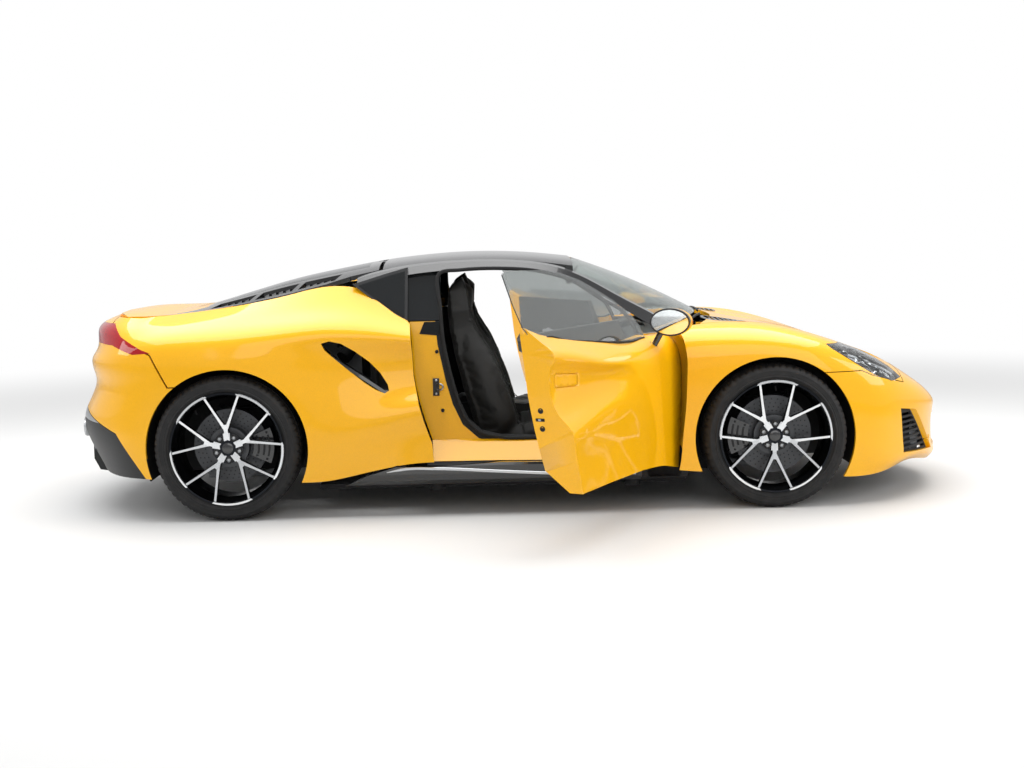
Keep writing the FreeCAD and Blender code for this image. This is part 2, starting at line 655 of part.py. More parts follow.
def shrunk(outline, step):
    """Outline moved inward by a step on every side."""
    area = sum(a[0] * b[1] - b[0] * a[1] for a, b in zip(outline, outline[1:] + outline[:1]))
    turn = 1 if area > 0 else -1
    result = []
    for i in range(len(outline)):
        before = outline[i - 1]
        here = outline[i]
        after = outline[(i + 1) % len(outline)]
        run_in = math.hypot(here[0] - before[0], here[1] - before[1])
        run_out = math.hypot(after[0] - here[0], after[1] - here[1])
        normal_in = (-(here[1] - before[1]) / run_in * turn, (here[0] - before[0]) / run_in * turn)
        normal_out = (-(after[1] - here[1]) / run_out * turn, (after[0] - here[0]) / run_out * turn)
        mitre = 1 + normal_in[0] * normal_out[0] + normal_in[1] * normal_out[1]
        result.append((here[0] + (normal_in[0] + normal_out[0]) * step / mitre,
                       here[1] + (normal_in[1] + normal_out[1]) * step / mitre))
    return result


# Grids of the body

def profile_points(profile):
    centre, heading, steps = profile
    return [drawn(centre[0] + heading[0] * step, centre[1] + heading[1] * step, height)
            for step, height in steps]


def wrap_grid():
    """Left side of the body, from the middle of the tail to the middle of the nose."""
    rows = [profile_points(profile) for profile in TAIL_PROFILES]
    for x, points in FLANK_PROFILES:
        rows.append([drawn(x, y, z) for y, z in points])
    rows += [profile_points(profile) for profile in NOSE_PROFILES]
    return fine_grid(rows, PROFILE_SPACING, ROUND_COUNT, RISE_COUNT, GUIDE_ROW)


def upper_grid(profiles, count_along, count_across):
    """Upper surface over both halves of the car."""
    rows = []
    for x, points in profiles:
        left = [drawn(x, y, z) for y, z in points]
        right = [V(point.x, -point.y, point.z) for point in left[:0:-1]]
        rows.append(right + left)
    spacing = [0, 1, 2, 3, 4, 5, 6]
    return fine_grid(rows, spacing, count_along, count_across, 3)


def screen_grid():
    """Windscreen over both halves of the car."""
    rows = []
    for row in SCREEN_ROWS:
        left = [drawn(x, y, z) for x, y, z in row]
        right = [V(point.x, -point.y, point.z) for point in left[:0:-1]]
        rows.append(right + left)
    spacing = [0, 1, 2, 3, 4, 5, 6]
    return fine_grid(rows, spacing, 8, 15, 3)


WRAP = wrap_grid()
WRAP_INSIDE = moved_inward(WRAP, PANEL)
WRAP_SKIN = solid_between(WRAP, WRAP_INSIDE)
FLANK_FLAT = [[V(point.x, DOOR_SIDE_FLAT, point.z) for point in strip] for strip in WRAP]


def flank_strips(grid, x_from, x_to):
    """The part of the grid beside a stretch of the car."""
    return [strip for strip in grid if x_from < strip[GUIDE_ROW].x < x_to]


def arch_cut(x, radius):
    """Round opening over a wheel, on the left."""
    return across_cylinder(x, FRONT_TYRE_RADIUS - ARCH_DROP, radius, OVERRUN, WIDTH)


def hinge_drum(gap):
    """Solid swept by the front edge of the left door about its hinge axis."""
    points = []
    for z, reach in DOOR_FRONT:
        radius = math.hypot(reach, DOOR_FRONT_REACH) + gap - DOOR_FRONT_INSET
        points.append(V(DOOR_HINGE_X + radius, DOOR_HINGE_Y, drawn(0, 0, z).z))
    curve = Part.BSplineCurve()
    curve.interpolate(points)
    low = V(DOOR_HINGE_X, DOOR_HINGE_Y, points[0].z)
    high = V(DOOR_HINGE_X, DOOR_HINGE_Y, points[-1].z)
    edges = [curve.toShape(), Part.makeLine(points[-1], high), Part.makeLine(high, low),
             Part.makeLine(low, points[0])]
    return Part.Face(Part.Wire(edges)).revolve(low, V(0, 0, 1), 360)


HINGE_DRUM = hinge_drum(0.0)
HINGE_ROOM = hinge_drum(CLEARANCE)


def door_inside(step):
    """Everything inboard of the door's inner face."""
    outline = [(y + step, z) for y, z in DOOR_INNER_LINE]
    outline += [(0, outline[-1][1]), (0, outline[0][1])]
    return section_prism(outline, -WIDTH / 2, WIDTH)


def sill_room(gap):
    """Sill profile grown by a gap, over the length of the door."""
    outer = [(y + gap, z + gap) for y, z in SILL_PROFILE[3:6]]
    low = [(outer[0][0] + OVERRUN, 0), (0, 0), (0, outer[-1][1])]
    side = (outer[0][0] + OVERRUN, SILL_PROFILE[1][1])
    return section_prism([side, (outer[0][0], side[1])] + outer + low[::-1], -WIDTH / 2, WIDTH)


# Doors, drawn shut on the left

def door_core(grid):
    """Solid between the flank and a flat plane inside the cabin, beside the door."""
    return solid_between(flank_strips(grid, *DOOR_CORE_ENDS), flank_strips(FLANK_FLAT, *DOOR_CORE_ENDS))


def behind(x):
    """Everything behind a place along the car."""
    return side_prism([(-DRAWN_LENGTH, 0), (x, 0), (x, DRAWN_HEIGHT), (-DRAWN_LENGTH, DRAWN_HEIGHT)],
                      -WIDTH, WIDTH)


def handle_groove():
    """Shut line round the flush handle."""
    skin = solid_between(moved_inward(WRAP, -OVERLAP), moved_inward(WRAP, HANDLE_DEPTH))
    outer = side_prism(shrunk(HANDLE_OUTLINE, -HANDLE_GROOVE), OVERRUN, WIDTH)
    return skin.common(outer.cut(side_prism(HANDLE_OUTLINE, OVERRUN, WIDTH)))


def door_shut():
    door = door_core(WRAP).common(side_prism(DOOR_OUTLINE, 0.0, WIDTH))
    door = door.common(behind(DOOR_HINGE_X * DRAWN_LENGTH / LENGTH).fuse(HINGE_DRUM))
    door = door.cut(door_inside(0.0)).cut(sill_room(CLEARANCE))
    hollow = door_core(WRAP_INSIDE).common(side_prism(shrunk(DOOR_OUTLINE, DOOR_HOLLOW_RIM), 0.0, WIDTH))
    hollow = hollow.common(behind(DOOR_HOLLOW_FRONT))
    hollow = hollow.cut(door_inside(DOOR_HOLLOW_WALL)).cut(sill_room(DOOR_HOLLOW_SILL))
    slot = leaning_sheet(shrunk(GLASS_OUTLINE, -CLEARANCE), -SEAT_GAP, GLASS + SEAT_GAP)
    return door.cut(hollow).cut(hinge_pockets()).cut(slot).cut(handle_groove())


def hinge_pockets():
    """Room in the door for the hinge arms as it swings, and the bores for the pins."""
    pockets = []
    half = HINGE_ARM_HALF + CLEARANCE
    for z in DOOR_HINGE_HEIGHTS:
        low = V(DOOR_HINGE_X, DOOR_HINGE_Y, z - half)
        disc = Part.makeCylinder(HINGE_POCKET_RADIUS, 2 * half, low)
        corners = [V(0, HINGE_PIN_RADIUS, 0)]
        for angle in HINGE_POCKET_ANGLES:
            turn = math.radians(angle)
            corners.append(V(math.cos(turn), math.sin(turn), 0) * (2 * HINGE_POCKET_RADIUS))
        wedge = polygon_face([low + corner for corner in corners]).extrude(V(0, 0, 2 * half))
        core = Part.makeCylinder(HINGE_EYE_RADIUS + CLEARANCE, 2 * half, low)
        bore = Part.makeCylinder(HINGE_PIN_RADIUS + RUNNING_GAP, 2 * (half + HINGE_PIN_REACH),
                                 low - V(0, 0, HINGE_PIN_REACH))
        pockets.append(disc.common(wedge).fuse(core).fuse(bore))
    return joined(pockets)


def hinge_arms():
    """Arms from the door post to the pins that the door turns on."""
    arms = []
    for z in DOOR_HINGE_HEIGHTS:
        centre = V(DOOR_HINGE_X, DOOR_HINGE_Y, z)
        arms.append(block(centre, V(-HINGE_ARM_WIDTH / 2, -HINGE_ARM_LENGTH, -HINGE_ARM_HALF),
                          V(HINGE_ARM_WIDTH / 2, 0, HINGE_ARM_HALF)))
        arms.append(Part.makeCylinder(HINGE_EYE_RADIUS, 2 * HINGE_ARM_HALF, centre - V(0, 0, HINGE_ARM_HALF)))
        reach = HINGE_ARM_HALF + HINGE_PIN_REACH
        arms.append(Part.makeCylinder(HINGE_PIN_RADIUS, 2 * reach, centre - V(0, 0, reach)))
    return joined(arms)


def leaning_sheet(outline, outer=0.0, inner=GLASS):
    """Sheet that leans in toward the roof, between two depths from the side window's face."""
    curve = Part.BSplineCurve()
    curve.interpolate([V(-LENGTH / 2, drawn(0, y, 0).y, drawn(0, 0, z).z) for y, z in SIDE_WINDOW_LINE])
    face = curve.toShape().extrude(V(LENGTH, 0, 0))
    face.translate(V(0, -outer, 0))
    sheet = face.extrude(V(0, outer - inner, 0))
    return sheet.common(side_prism(outline, 0.0, WIDTH))


def door_trim_shut():
    """Trim inside the door, with its armrest."""
    trim = side_prism(shrunk(OPENING_OUTLINE, TRIM_STEP), 0.0, WIDTH)
    return section_prism(TRIM_SECTION, -WIDTH / 2, WIDTH).common(trim)


def mirror_shut():
    """Door mirror on its stalk."""
    wires = []
    for x, half_width, half_height in MIRROR_SECTIONS:
        ellipse = Part.Ellipse(V(0, 0, 0), half_width, half_height).toShape()
        ellipse.rotate(V(0, 0, 0), V(0, 0, 1), 90)
        ellipse.rotate(V(0, 0, 0), V(0, 1, 0), 90)
        ellipse.translate(drawn(x, *MIRROR_CENTRE))
        wires.append(Part.Wire(ellipse))
    foot = drawn(*MIRROR_STALK_FOOT)
    run = drawn(*MIRROR_STALK_HEAD) - foot
    stalk = Part.makeCylinder(MIRROR_STALK_RADIUS, run.Length, foot, run)
    return Part.makeLoft(wires, True, False).fuse(stalk)


def opened(shape):
    """A piece of the left door swung open about the hinge."""
    turned = shape.copy()
    turned.rotate(V(DOOR_HINGE_X, DOOR_HINGE_Y, 0), V(0, 0, 1), -DOOR_OPEN)
    return turned


# Body panels

def whole(half):
    """Left half of a piece joined to its mirror image across the middle."""
    half = half.common(plan_prism([(-DRAWN_LENGTH, 0), (-DRAWN_LENGTH, DRAWN_WIDTH),
                                   (DRAWN_LENGTH, DRAWN_WIDTH), (DRAWN_LENGTH, 0)], 0.0, HEIGHT))
    return half.fuse(mirrored(half)).removeSplitter()


def bonnet_plan():
    """Plan outline inside the inner edge of the wings and the nose."""
    foot = BONNET_FOOT[::-1]
    edge = [(strip[-1].x * DRAWN_LENGTH / LENGTH, strip[-1].y * DRAWN_WIDTH / WIDTH) for strip in WRAP]
    left = foot + [(x, y) for x, y in edge if x > foot[-1][0] + CLEARANCE]
    return left + [(x, -y) for x, y in left[-2:0:-1]]


def under_bonnet():
    """The column of space over which the bonnet lies."""
    return plan_prism(bonnet_plan(), OVERRUN, HEIGHT)


def tailgate_plan():
    return TAILGATE_EDGE + [(x, -y) for x, y in TAILGATE_EDGE[-2:0:-1]]


def under_tailgate():
    """The column of space over which the tailgate lies, with clearance round it."""
    return plan_prism(shrunk(tailgate_plan(), -CLEARANCE), 2 * OVERRUN, WIDTH)


def wrap_panel(outline, *openings):
    """A piece of the body's skin inside an outline seen from the side, less its openings."""
    panel = WRAP_SKIN.common(side_prism(outline, 0.0, WIDTH))
    for opening in openings:
        panel = panel.cut(opening)
    return panel


def front_wing():
    return wrap_panel(WING_OUTLINE, arch_cut(FRONT_AXLE, ARCH_RADIUS), HINGE_ROOM,
                      side_prism(LAMP_OUTLINE, OVERRUN, WIDTH), under_bonnet())


def rear_quarter():
    return wrap_panel(QUARTER_OUTLINE, arch_cut(REAR_AXLE, ARCH_RADIUS),
                      side_prism(INTAKE_OUTLINE, OVERRUN, WIDTH), under_tailgate(),
                      side_prism(TAIL_LAMP_OUTLINE, TAIL_LAMP_INNER, WIDTH))


def rear_bumper():
    return whole(wrap_panel(BUMPER_OUTLINE, arch_cut(REAR_AXLE, ARCH_RADIUS), under_tailgate(),
                            side_prism(TAIL_LAMP_OUTLINE, TAIL_LAMP_INNER, WIDTH)))


def nose_opening(outline):
    """Opening in the nose, seen from the front."""
    return section_prism(outline, drawn(NOSE_ZONE, 0, 0).x, LENGTH)


def nose_panel():
    return whole(wrap_panel(NOSE_OUTLINE, arch_cut(FRONT_AXLE, ARCH_RADIUS), under_bonnet(),
                            side_prism(LAMP_OUTLINE, OVERRUN, WIDTH), nose_opening(CORNER_INTAKE),
                            nose_opening(CENTRE_INTAKE)))


def front_grille():
    """Slatted grilles behind the nose's openings."""
    sheet = solid_between(moved_inward(WRAP, PANEL), moved_inward(WRAP, PANEL + GRILLE_DEPTH))
    grilles = []
    for outline in (CORNER_INTAKE, CENTRE_INTAKE):
        grille = sheet.common(nose_opening(shrunk(outline, -GRILLE_LAP)))
        window = nose_opening(shrunk(outline, GRILLE_BAR))
        for low, high in GRILLE_SLATS:
            grille = grille.cut(window.common(
                section_prism([(0, low), (DRAWN_WIDTH, low), (DRAWN_WIDTH, high), (0, high)], 0.0, LENGTH)))
        grilles.append(grille)
    centre = whole(grilles[1])
    return Part.makeCompound([grilles[0], mirrored(grilles[0]), centre])


def lamp_layer(outline, outer, inner):
    """A layer of a lamp between two depths under the body's surface."""
    layer = solid_between(moved_inward(WRAP, outer), moved_inward(WRAP, inner))
    return layer.common(side_prism(outline, OVERRUN, WIDTH))


def headlamp():
    """Clear lens over a hollow bowl."""
    lens = lamp_layer(shrunk(LAMP_OUTLINE, SEAT_GAP), 0.0, LENS)
    bowl = lamp_layer(shrunk(LAMP_OUTLINE, SEAT_GAP), LENS + SEAT_GAP, LAMP_DEPTH)
    room = lamp_layer(shrunk(LAMP_OUTLINE, LAMP_BOWL + SEAT_GAP), 0.0, LAMP_DEPTH - LAMP_BOWL)
    room = room.cut(plan_prism(shrunk(bonnet_plan(), -LAMP_BOWL), OVERRUN, HEIGHT))
    return Part.makeCompound([lens.cut(under_bonnet()), bowl.cut(room).cut(under_bonnet())])


def tail_lamp():
    layer = solid_between(WRAP, moved_inward(WRAP, TAIL_LAMP_DEPTH))
    lamp = layer.common(side_prism(shrunk(TAIL_LAMP_OUTLINE, SEAT_GAP), TAIL_LAMP_INNER + SEAT_GAP, WIDTH))
    return lamp.cut(under_tailgate())


def side_intake():
    """Duct behind the opening in the rear quarter, with its vane."""
    duct = solid_between(moved_inward(WRAP, PANEL + DUCT_STEP), moved_inward(WRAP, DUCT_DEPTH + PANEL))
    wide = side_prism(shrunk(INTAKE_OUTLINE, -DUCT_LAP), OVERRUN, WIDTH)
    tube = duct.common(wide).cut(side_prism(INTAKE_OUTLINE, OVERRUN, WIDTH))
    near, far = VANE_DEPTHS
    vane = solid_between(moved_inward(WRAP, near), moved_inward(WRAP, PANEL + far))
    return tube.fuse(vane.common(side_prism(VANE_OUTLINE, OVERRUN, WIDTH)).common(wide))


def side_skirt():
    """Black skirt under the door and ahead of the rear wheel."""
    skirt = section_prism(SKIRT_PROFILE, -WIDTH, 2 * WIDTH)
    return skirt.common(side_prism(SKIRT_OUTLINE, 0.0, WIDTH)).cut(HINGE_ROOM)


def sill(step):
    """The sill under the door, less a step all round."""
    rear, front = (drawn(x, 0, 0).x for x in SILL_ENDS)
    return section_prism(shrunk(SILL_PROFILE, step), rear, front)


def side_frame():
    """Door jamb round the cabin opening, with the painted face of the sill and the hinge arms."""
    plate = section_prism(JAMB_SECTION, -WIDTH / 2, WIDTH)
    frame = plate.common(side_prism(shrunk(DOOR_OUTLINE, -JAMB_LAP), 0.0, WIDTH))
    frame = frame.cut(side_prism(shrunk(OPENING_OUTLINE, -BAND_WIDTH), 0.0, WIDTH)).cut(HINGE_ROOM)
    frame = frame.cut(sill_room(0.0)).cut(arch_cut(FRONT_AXLE, ARCH_RADIUS + ARCH_LINER_STEP))
    low = drawn(0, 0, SILL_SKIN_LOW).z
    skin = sill(0.0).cut(sill(SILL_SKIN))
    skin = skin.common(Part.makeBox(LENGTH, WIDTH, HEIGHT, V(-LENGTH / 2, 0, low)))
    skin = skin.common(side_prism(shrunk(DOOR_OUTLINE, -JAMB_LAP), 0.0, WIDTH)).cut(HINGE_ROOM)
    return frame.fuse(skin).fuse(hinge_arms())


def door_band():
    """Black band and seal round the cabin opening."""
    plate = section_prism(JAMB_SECTION, -WIDTH / 2, WIDTH)
    band = plate.common(side_prism(shrunk(OPENING_OUTLINE, -BAND_WIDTH), 0.0, WIDTH))
    band = band.cut(side_prism(OPENING_OUTLINE, 0.0, WIDTH)).cut(sill_room(0.0))
    return band.common(side_prism(shrunk(DOOR_OUTLINE, -JAMB_LAP), 0.0, WIDTH)).cut(HINGE_ROOM)


def below(grid, depth):
    """The grid lowered by a depth."""
    return [[point - V(0, 0, depth) for point in strip] for strip in grid]


BONNET_GRID = upper_grid(BONNET_PROFILES, 24, 13)
ROOF_GRID = upper_grid(ROOF_PROFILES, 30, 13)
ROOF_SKIN = solid_between(ROOF_GRID, below(ROOF_GRID, PANEL))


def hinge_pin(x, z, gap, y_from, y_to):
    """Pin across the car on both sides, grown by a gap."""
    pin = across_cylinder(x, z, LID_PIN_RADIUS + gap, y_from, y_to)
    return pin.fuse(mirrored(pin))


def bonnet_slots():
    """Slots across the vent in the bonnet, on the left."""
    vent = plan_prism(BONNET_VENT, 0.0, HEIGHT)
    slots = []
    for rear, front in VENT_SLOTS:
        slots.append(vent.common(plan_prism([(rear, 0), (front, 0), (front, DRAWN_WIDTH), (rear, DRAWN_WIDTH)],
                                            0.0, HEIGHT)))
    return slots


def bonnet():
    skin = solid_between(BONNET_GRID, below(BONNET_GRID, PANEL))
    lid = skin.common(plan_prism(shrunk(bonnet_plan(), SHUT_GAP), 0.0, HEIGHT))
    rear, front, half, rise = BONNET_EAR
    above = solid_between(below(BONNET_GRID, -OVERRUN), BONNET_GRID)
    for side in (-1, 1):
        for slot in bonnet_slots():
            lid = lid.cut(slot if side > 0 else mirrored(slot))
        centre = V(BONNET_HINGE_X, side * BONNET_HINGE_Y, BONNET_HINGE_Z)
        lid = lid.fuse(block(centre, V(rear, -half, -rise + LID_EAR_RISE), V(front, half, rise)).cut(above))
    return lid.cut(hinge_pin(BONNET_HINGE_X, BONNET_HINGE_Z, RUNNING_GAP, 0.0, WIDTH / 2))


def roof_panel():
    panel = ROOF_SKIN.common(plan_prism(ROOF_EDGE, 0.0, WIDTH))
    rear, front, half = TAILGATE_LUG
    for side in (-1, 1):
        for step in (-TAILGATE_LUG_STEP, TAILGATE_LUG_STEP):
            centre = V(TAILGATE_HINGE_X, side * TAILGATE_HINGE_Y + step, TAILGATE_HINGE_Z)
            panel = panel.fuse(block(centre, V(rear, -half, -LID_EAR_DROP), V(front, half, LID_EAR_RISE)))
    pin = hinge_pin(TAILGATE_HINGE_X, TAILGATE_HINGE_Z, 0.0, TAILGATE_HINGE_Y - TAILGATE_LUG_STEP,
                    TAILGATE_HINGE_Y + TAILGATE_LUG_STEP)
    return panel.fuse(pin)


def tailgate_room():
    """Space that the tailgate takes up, with clearance all round."""
    space = solid_between(below(ROOF_GRID, -CLEARANCE), below(ROOF_GRID, PANEL + CLEARANCE))
    return space.common(plan_prism(shrunk(tailgate_plan(), -CLEARANCE), 0.0, WIDTH))


def louvre_frame():
    """Black frame round the rear glass, with its louvres and hinge ears."""
    plan = LOUVRE_FRAME_EDGE + [(x, -y) for x, y in LOUVRE_FRAME_EDGE[-2:0:-1]]
    frame = ROOF_SKIN.common(plan_prism(plan, 0.0, WIDTH)).cut(plan_prism(TAILGATE_PANE, 0.0, WIDTH))
    rear, front, half = TAILGATE_EAR
    pocket_rear, pocket_front, pocket_half = TAILGATE_POCKET
    for side in (-1, 1):
        for slot in LOUVRE_SLOTS:
            frame = frame.cut(plan_prism([(x, side * y) for x, y in slot], 0.0, WIDTH))
        centre = V(TAILGATE_HINGE_X, side * TAILGATE_HINGE_Y, TAILGATE_HINGE_Z)
        frame = frame.cut(block(centre, V(pocket_rear, -pocket_half, -OVERRUN),
                                V(pocket_front, pocket_half, OVERRUN)))
        frame = frame.fuse(block(centre, V(rear, -half, -LID_EAR_DROP), V(front, half, LID_EAR_RISE)))
    return frame.cut(hinge_pin(TAILGATE_HINGE_X, TAILGATE_HINGE_Z, RUNNING_GAP, 0.0, WIDTH / 2))


def tailgate():
    """Painted rear deck of the tailgate."""
    plan = LOUVRE_FRAME_EDGE + [(x, -y) for x, y in LOUVRE_FRAME_EDGE[-2:0:-1]]
    return ROOF_SKIN.common(plan_prism(tailgate_plan(), 0.0, WIDTH)).cut(plan_prism(plan, 0.0, WIDTH))


def tailgate_glass():
    return ROOF_SKIN.common(plan_prism(TAILGATE_PANE, 0.0, WIDTH))


def tail_plan():
    """The ground that the tail covers, inside its skin."""
    inside = moved_inward(WRAP, PANEL)
    left = [strip[TAIL_ROW] for strip in inside if strip[TAIL_ROW].x < REAR_AXLE]
    points = [(p.x * DRAWN_LENGTH / LENGTH, p.y * DRAWN_WIDTH / WIDTH) for p in left]
    return plan_prism(points + [(points[-1][0], -OVERLAP), (points[0][0], -OVERLAP)], 0.0, HEIGHT)


def exhaust_bar(radius):
    """Round bar along the car at the exhaust's place, on the left."""
    y, z = EXHAUST_PLACE
    rear, front = (drawn(x, 0, 0).x for x in EXHAUST_ENDS[::-1])
    return Part.makeCylinder(radius, front - rear, drawn(0, y, z) + V(rear, 0, 0), V(1, 0, 0))


def diffuser():
    """Lower tail with its exhaust tips, rising tray and fins."""
    half = wrap_panel(DIFFUSER_OUTLINE, arch_cut(REAR_AXLE, ARCH_RADIUS),
                      section_prism(DIFFUSER_MOUTH, -LENGTH, LENGTH / 2),
                      exhaust_bar(EXHAUST_RADIUS))
    width = DIFFUSER_MOUTH[1][0] * WIDTH / DRAWN_WIDTH
    inside = tail_plan()
    tip = exhaust_bar(EXHAUST_RADIUS + EXHAUST_WALL).cut(exhaust_bar(EXHAUST_RADIUS))
    half = half.fuse(tip).fuse(side_prism(DIFFUSER_TRAY, 0.0, width).common(inside))
    for y in DIFFUSER_FIN_PLACES:
        fin = side_prism(DIFFUSER_FIN, y - DIFFUSER_FIN_HALF, y + DIFFUSER_FIN_HALF)
        half = half.fuse(fin.common(inside))
    return whole(half)


# Cabin frame, glass and tub

def rail():
    """Screen pillar and roof rail, on the left."""
    wires = []
    for x, low, high, outer, inner in RAIL_SECTIONS:
        corners = [drawn(x, outer, low), drawn(x, (outer * 2 + inner) / 3, high - RAIL_CROWN),
                   drawn(x, inner, high), drawn(x, inner, low)]
        wires.append(Part.makePolygon(corners + [corners[0]]))
    return Part.makeLoft(wires, True, False)


def cabin_frame():
    side = rail()
    post = leaning_sheet(POST_OUTLINE, GLASS + SEAT_GAP, POST_DEPTH)
    backing = leaning_sheet(shrunk(QUARTER_GLASS_OUTLINE, -BACKING_LAP), GLASS + SEAT_GAP, BACKING_DEPTH)
    backing = backing.cut(side_prism(shrunk(QUARTER_GLASS_OUTLINE, BACKING_RIM), 0.0, WIDTH))
    half = side.fuse(post).fuse(backing)
    return joined([half, mirrored(half), centred(SCREEN_HEADER), centred(TAIL_HEADER)])


def windscreen():
    grid = screen_grid()
    return solid_between(grid, moved_inward(grid, GLASS))


def beam(ends, inner, outer):
    """A rail on each side."""
    rear, front, low, high = ends
    left = box(rear, front, inner, outer, low, high)
    return left.fuse(mirrored(left))


def floor_tub():
    """Bonded tub: floor, sills and tunnel, with jacking pads."""
    tub = joined([centred(FLOOR_PAN), sill(SILL_SKIN), mirrored(sill(SILL_SKIN)), centred(TUNNEL)])
    for x in (JACK_FRONT, JACK_REAR):
        for y in (-JACK_Y, JACK_Y):
            tub = tub.fuse(Part.makeCylinder(JACK_RADIUS, JACK_RISE, V(x, y, JACK_LOW)))
    return tub.cut(HINGE_ROOM).cut(mirrored(HINGE_ROOM))


def bulkheads():
    """Walls at both ends of the cabin, with the foot boxes."""
    front = centred(FRONT_WALL).cut(centred(FOOT_ROOM))
    foot_box = centred(FOOT_BOX).cut(centred(FOOT_ROOM))
    walls = front.fuse(foot_box).fuse(centred(REAR_WALL))
    return walls.cut(HINGE_ROOM).cut(mirrored(HINGE_ROOM))


def tow_eye(radius, depth):
    """Straight way along the tow eyes' axes, from a depth inside the front cross member."""
    bars = []
    for y in (-TOW_EYE_Y, TOW_EYE_Y):
        start = drawn(FRONT_CROSS[1], 0, sum(FRONT_CROSS[3:]) / 2) + V(-depth, 0, 0)
        bars.append(Part.makeCylinder(radius, LENGTH, V(start.x, y, start.z), V(1, 0, 0)))
    return joined(bars)


def chassis_rails():
    """Rails with their cross members, bored for the tow eyes."""
    rails = joined([beam(FRONT_RAIL, RAIL_INNER, RAIL_OUTER), beam(REAR_RAIL, RAIL_INNER, RAIL_OUTER),
                    centred(FRONT_CROSS), centred(REAR_CROSS)])
    return rails.cut(tow_eye(TOW_EYE_RADIUS, TOW_EYE_DEPTH))


def luggage_tub(extents):
    """Open tub for luggage."""
    rear, front, half, low, high = extents
    inner = (rear + TUB_WALL, front - TUB_WALL, half - TUB_WALL, low + TUB_WALL, high + TUB_WALL)
    return centred(extents).cut(centred(inner))


def arch_liner(x, inner):
    """Liner over a wheel, on the left."""
    height = FRONT_TYRE_RADIUS - ARCH_DROP
    liner = across_cylinder(x, height, LINER_RADIUS, inner, LINER_OUTER)
    liner = liner.cut(across_cylinder(x, height, LINER_RADIUS - SHEET, inner + SHEET, WIDTH))
    return liner.cut(Part.makeBox(LENGTH, WIDTH, OVERRUN, V(-LENGTH / 2, 0, LINER_LOW - OVERRUN)))


# Cabin furniture

def seat_loft(stations):
    """Padded form with raised bolsters, through stations that face along their lean."""
    wires = []
    for x, z, lean, half, bolster, bolster_width, depth in stations:
        turn = math.radians(lean)
        face = V(math.cos(turn), 0, math.sin(turn))
        rim = half - bolster_width
        steps = [(-half, -depth), (-half, bolster / 2), (-half + bolster_width / 3, bolster),
                 (-rim, 0), (rim, 0), (half - bolster_width / 3, bolster), (half, bolster / 2),
                 (half, -depth)]
        centre = drawn(x, SEAT_CENTRE, z)
        points = [centre + V(0, y, 0) + face * step for y, step in steps]
        wires.append(Part.makePolygon(points + [points[0]]))
    return Part.makeLoft(wires, True, True)


def seat():
    """Bucket seat with its headrest in one piece, on the left."""
    rear, front, half, low, high = SEAT_BASE
    base = box(rear, front, SEAT_CENTRE - half, SEAT_CENTRE + half, low, high)
    return base.fuse(seat_loft(CUSHION_STATIONS)).fuse(seat_loft(BACK_STATIONS))


def on_column(shape):
    """A piece drawn about the steering axis, moved to its place."""
    shape.rotate(V(0, 0, 0), V(0, 1, 0), -STEERING_TILT)
    shape.translate(drawn(*STEERING_CENTRE))
    return shape


def column_bore():
    low, high = SHAFT_ENDS
    return on_column(Part.makeCylinder(SHAFT_RADIUS + RUNNING_GAP, high - low + SHAFT_SEAT,
                                       V(0, 0, low - SHAFT_SEAT)))


def steering_column():
    """Column shroud that carries the wheel's shaft."""
    low, high = COLUMN_ENDS
    return on_column(Part.makeCylinder(COLUMN_RADIUS, high - low, V(0, 0, low)))


def steering_wheel():
    hub_radius, hub_low, hub_high = WHEEL_HUB
    half, spoke_low, spoke_high = WHEEL_SPOKE
    wheel = Part.makeTorus(WHEEL_RING_RADIUS, WHEEL_GRIP_RADIUS)
    wheel = wheel.fuse(Part.makeCylinder(hub_radius, hub_high - hub_low, V(0, 0, hub_low)))
    for angle in (90, 180, 270):
        spoke = block(V(0, 0, 0), V(0, -half, spoke_low), V(WHEEL_RING_RADIUS, half, spoke_high))
        spoke.rotate(V(0, 0, 0), V(0, 0, 1), angle)
        wheel = wheel.fuse(spoke)
    low, high = SHAFT_ENDS
    return on_column(wheel.fuse(Part.makeCylinder(SHAFT_RADIUS, high - low, V(0, 0, low))))


def dashboard():
    hood_from, hood_to = HOOD_ENDS
    hood = side_prism(HOOD_OUTLINE, drawn(0, hood_from, 0).y, drawn(0, hood_to, 0).y)
    return side_prism(DASH_OUTLINE, -DASH_HALF, DASH_HALF).fuse(hood).fuse(steering_column()).cut(column_bore())


def centre_console():
    """Console between the seats, joined to the trim on the bulkhead behind them."""
    console = side_prism(CONSOLE_OUTLINE, -CONSOLE_HALF, CONSOLE_HALF)
    return console.fuse(side_prism(REAR_TRIM_OUTLINE, -REAR_TRIM_HALF, REAR_TRIM_HALF))


def cowl_panel():
    """Scuttle between bonnet and windscreen, with the stays that the bonnet turns on."""
    half, side_half, step = BONNET_STAY
    top = drawn(0, 0, SCUTTLE[-1]).z
    panel = centred(SCUTTLE)
    for side in (-1, 1):
        centre = V(BONNET_HINGE_X, side * (BONNET_HINGE_Y + step), BONNET_HINGE_Z)
        panel = panel.fuse(block(centre, V(-half, -side_half, top - BONNET_HINGE_Z), V(half, side_half, half)))
    pin = hinge_pin(BONNET_HINGE_X, BONNET_HINGE_Z, 0.0, BONNET_HINGE_Y - BONNET_EAR[2],
                    BONNET_HINGE_Y + step)
    return panel.fuse(pin)


# Wheels, drawn on the left about their own centre, +Y outward

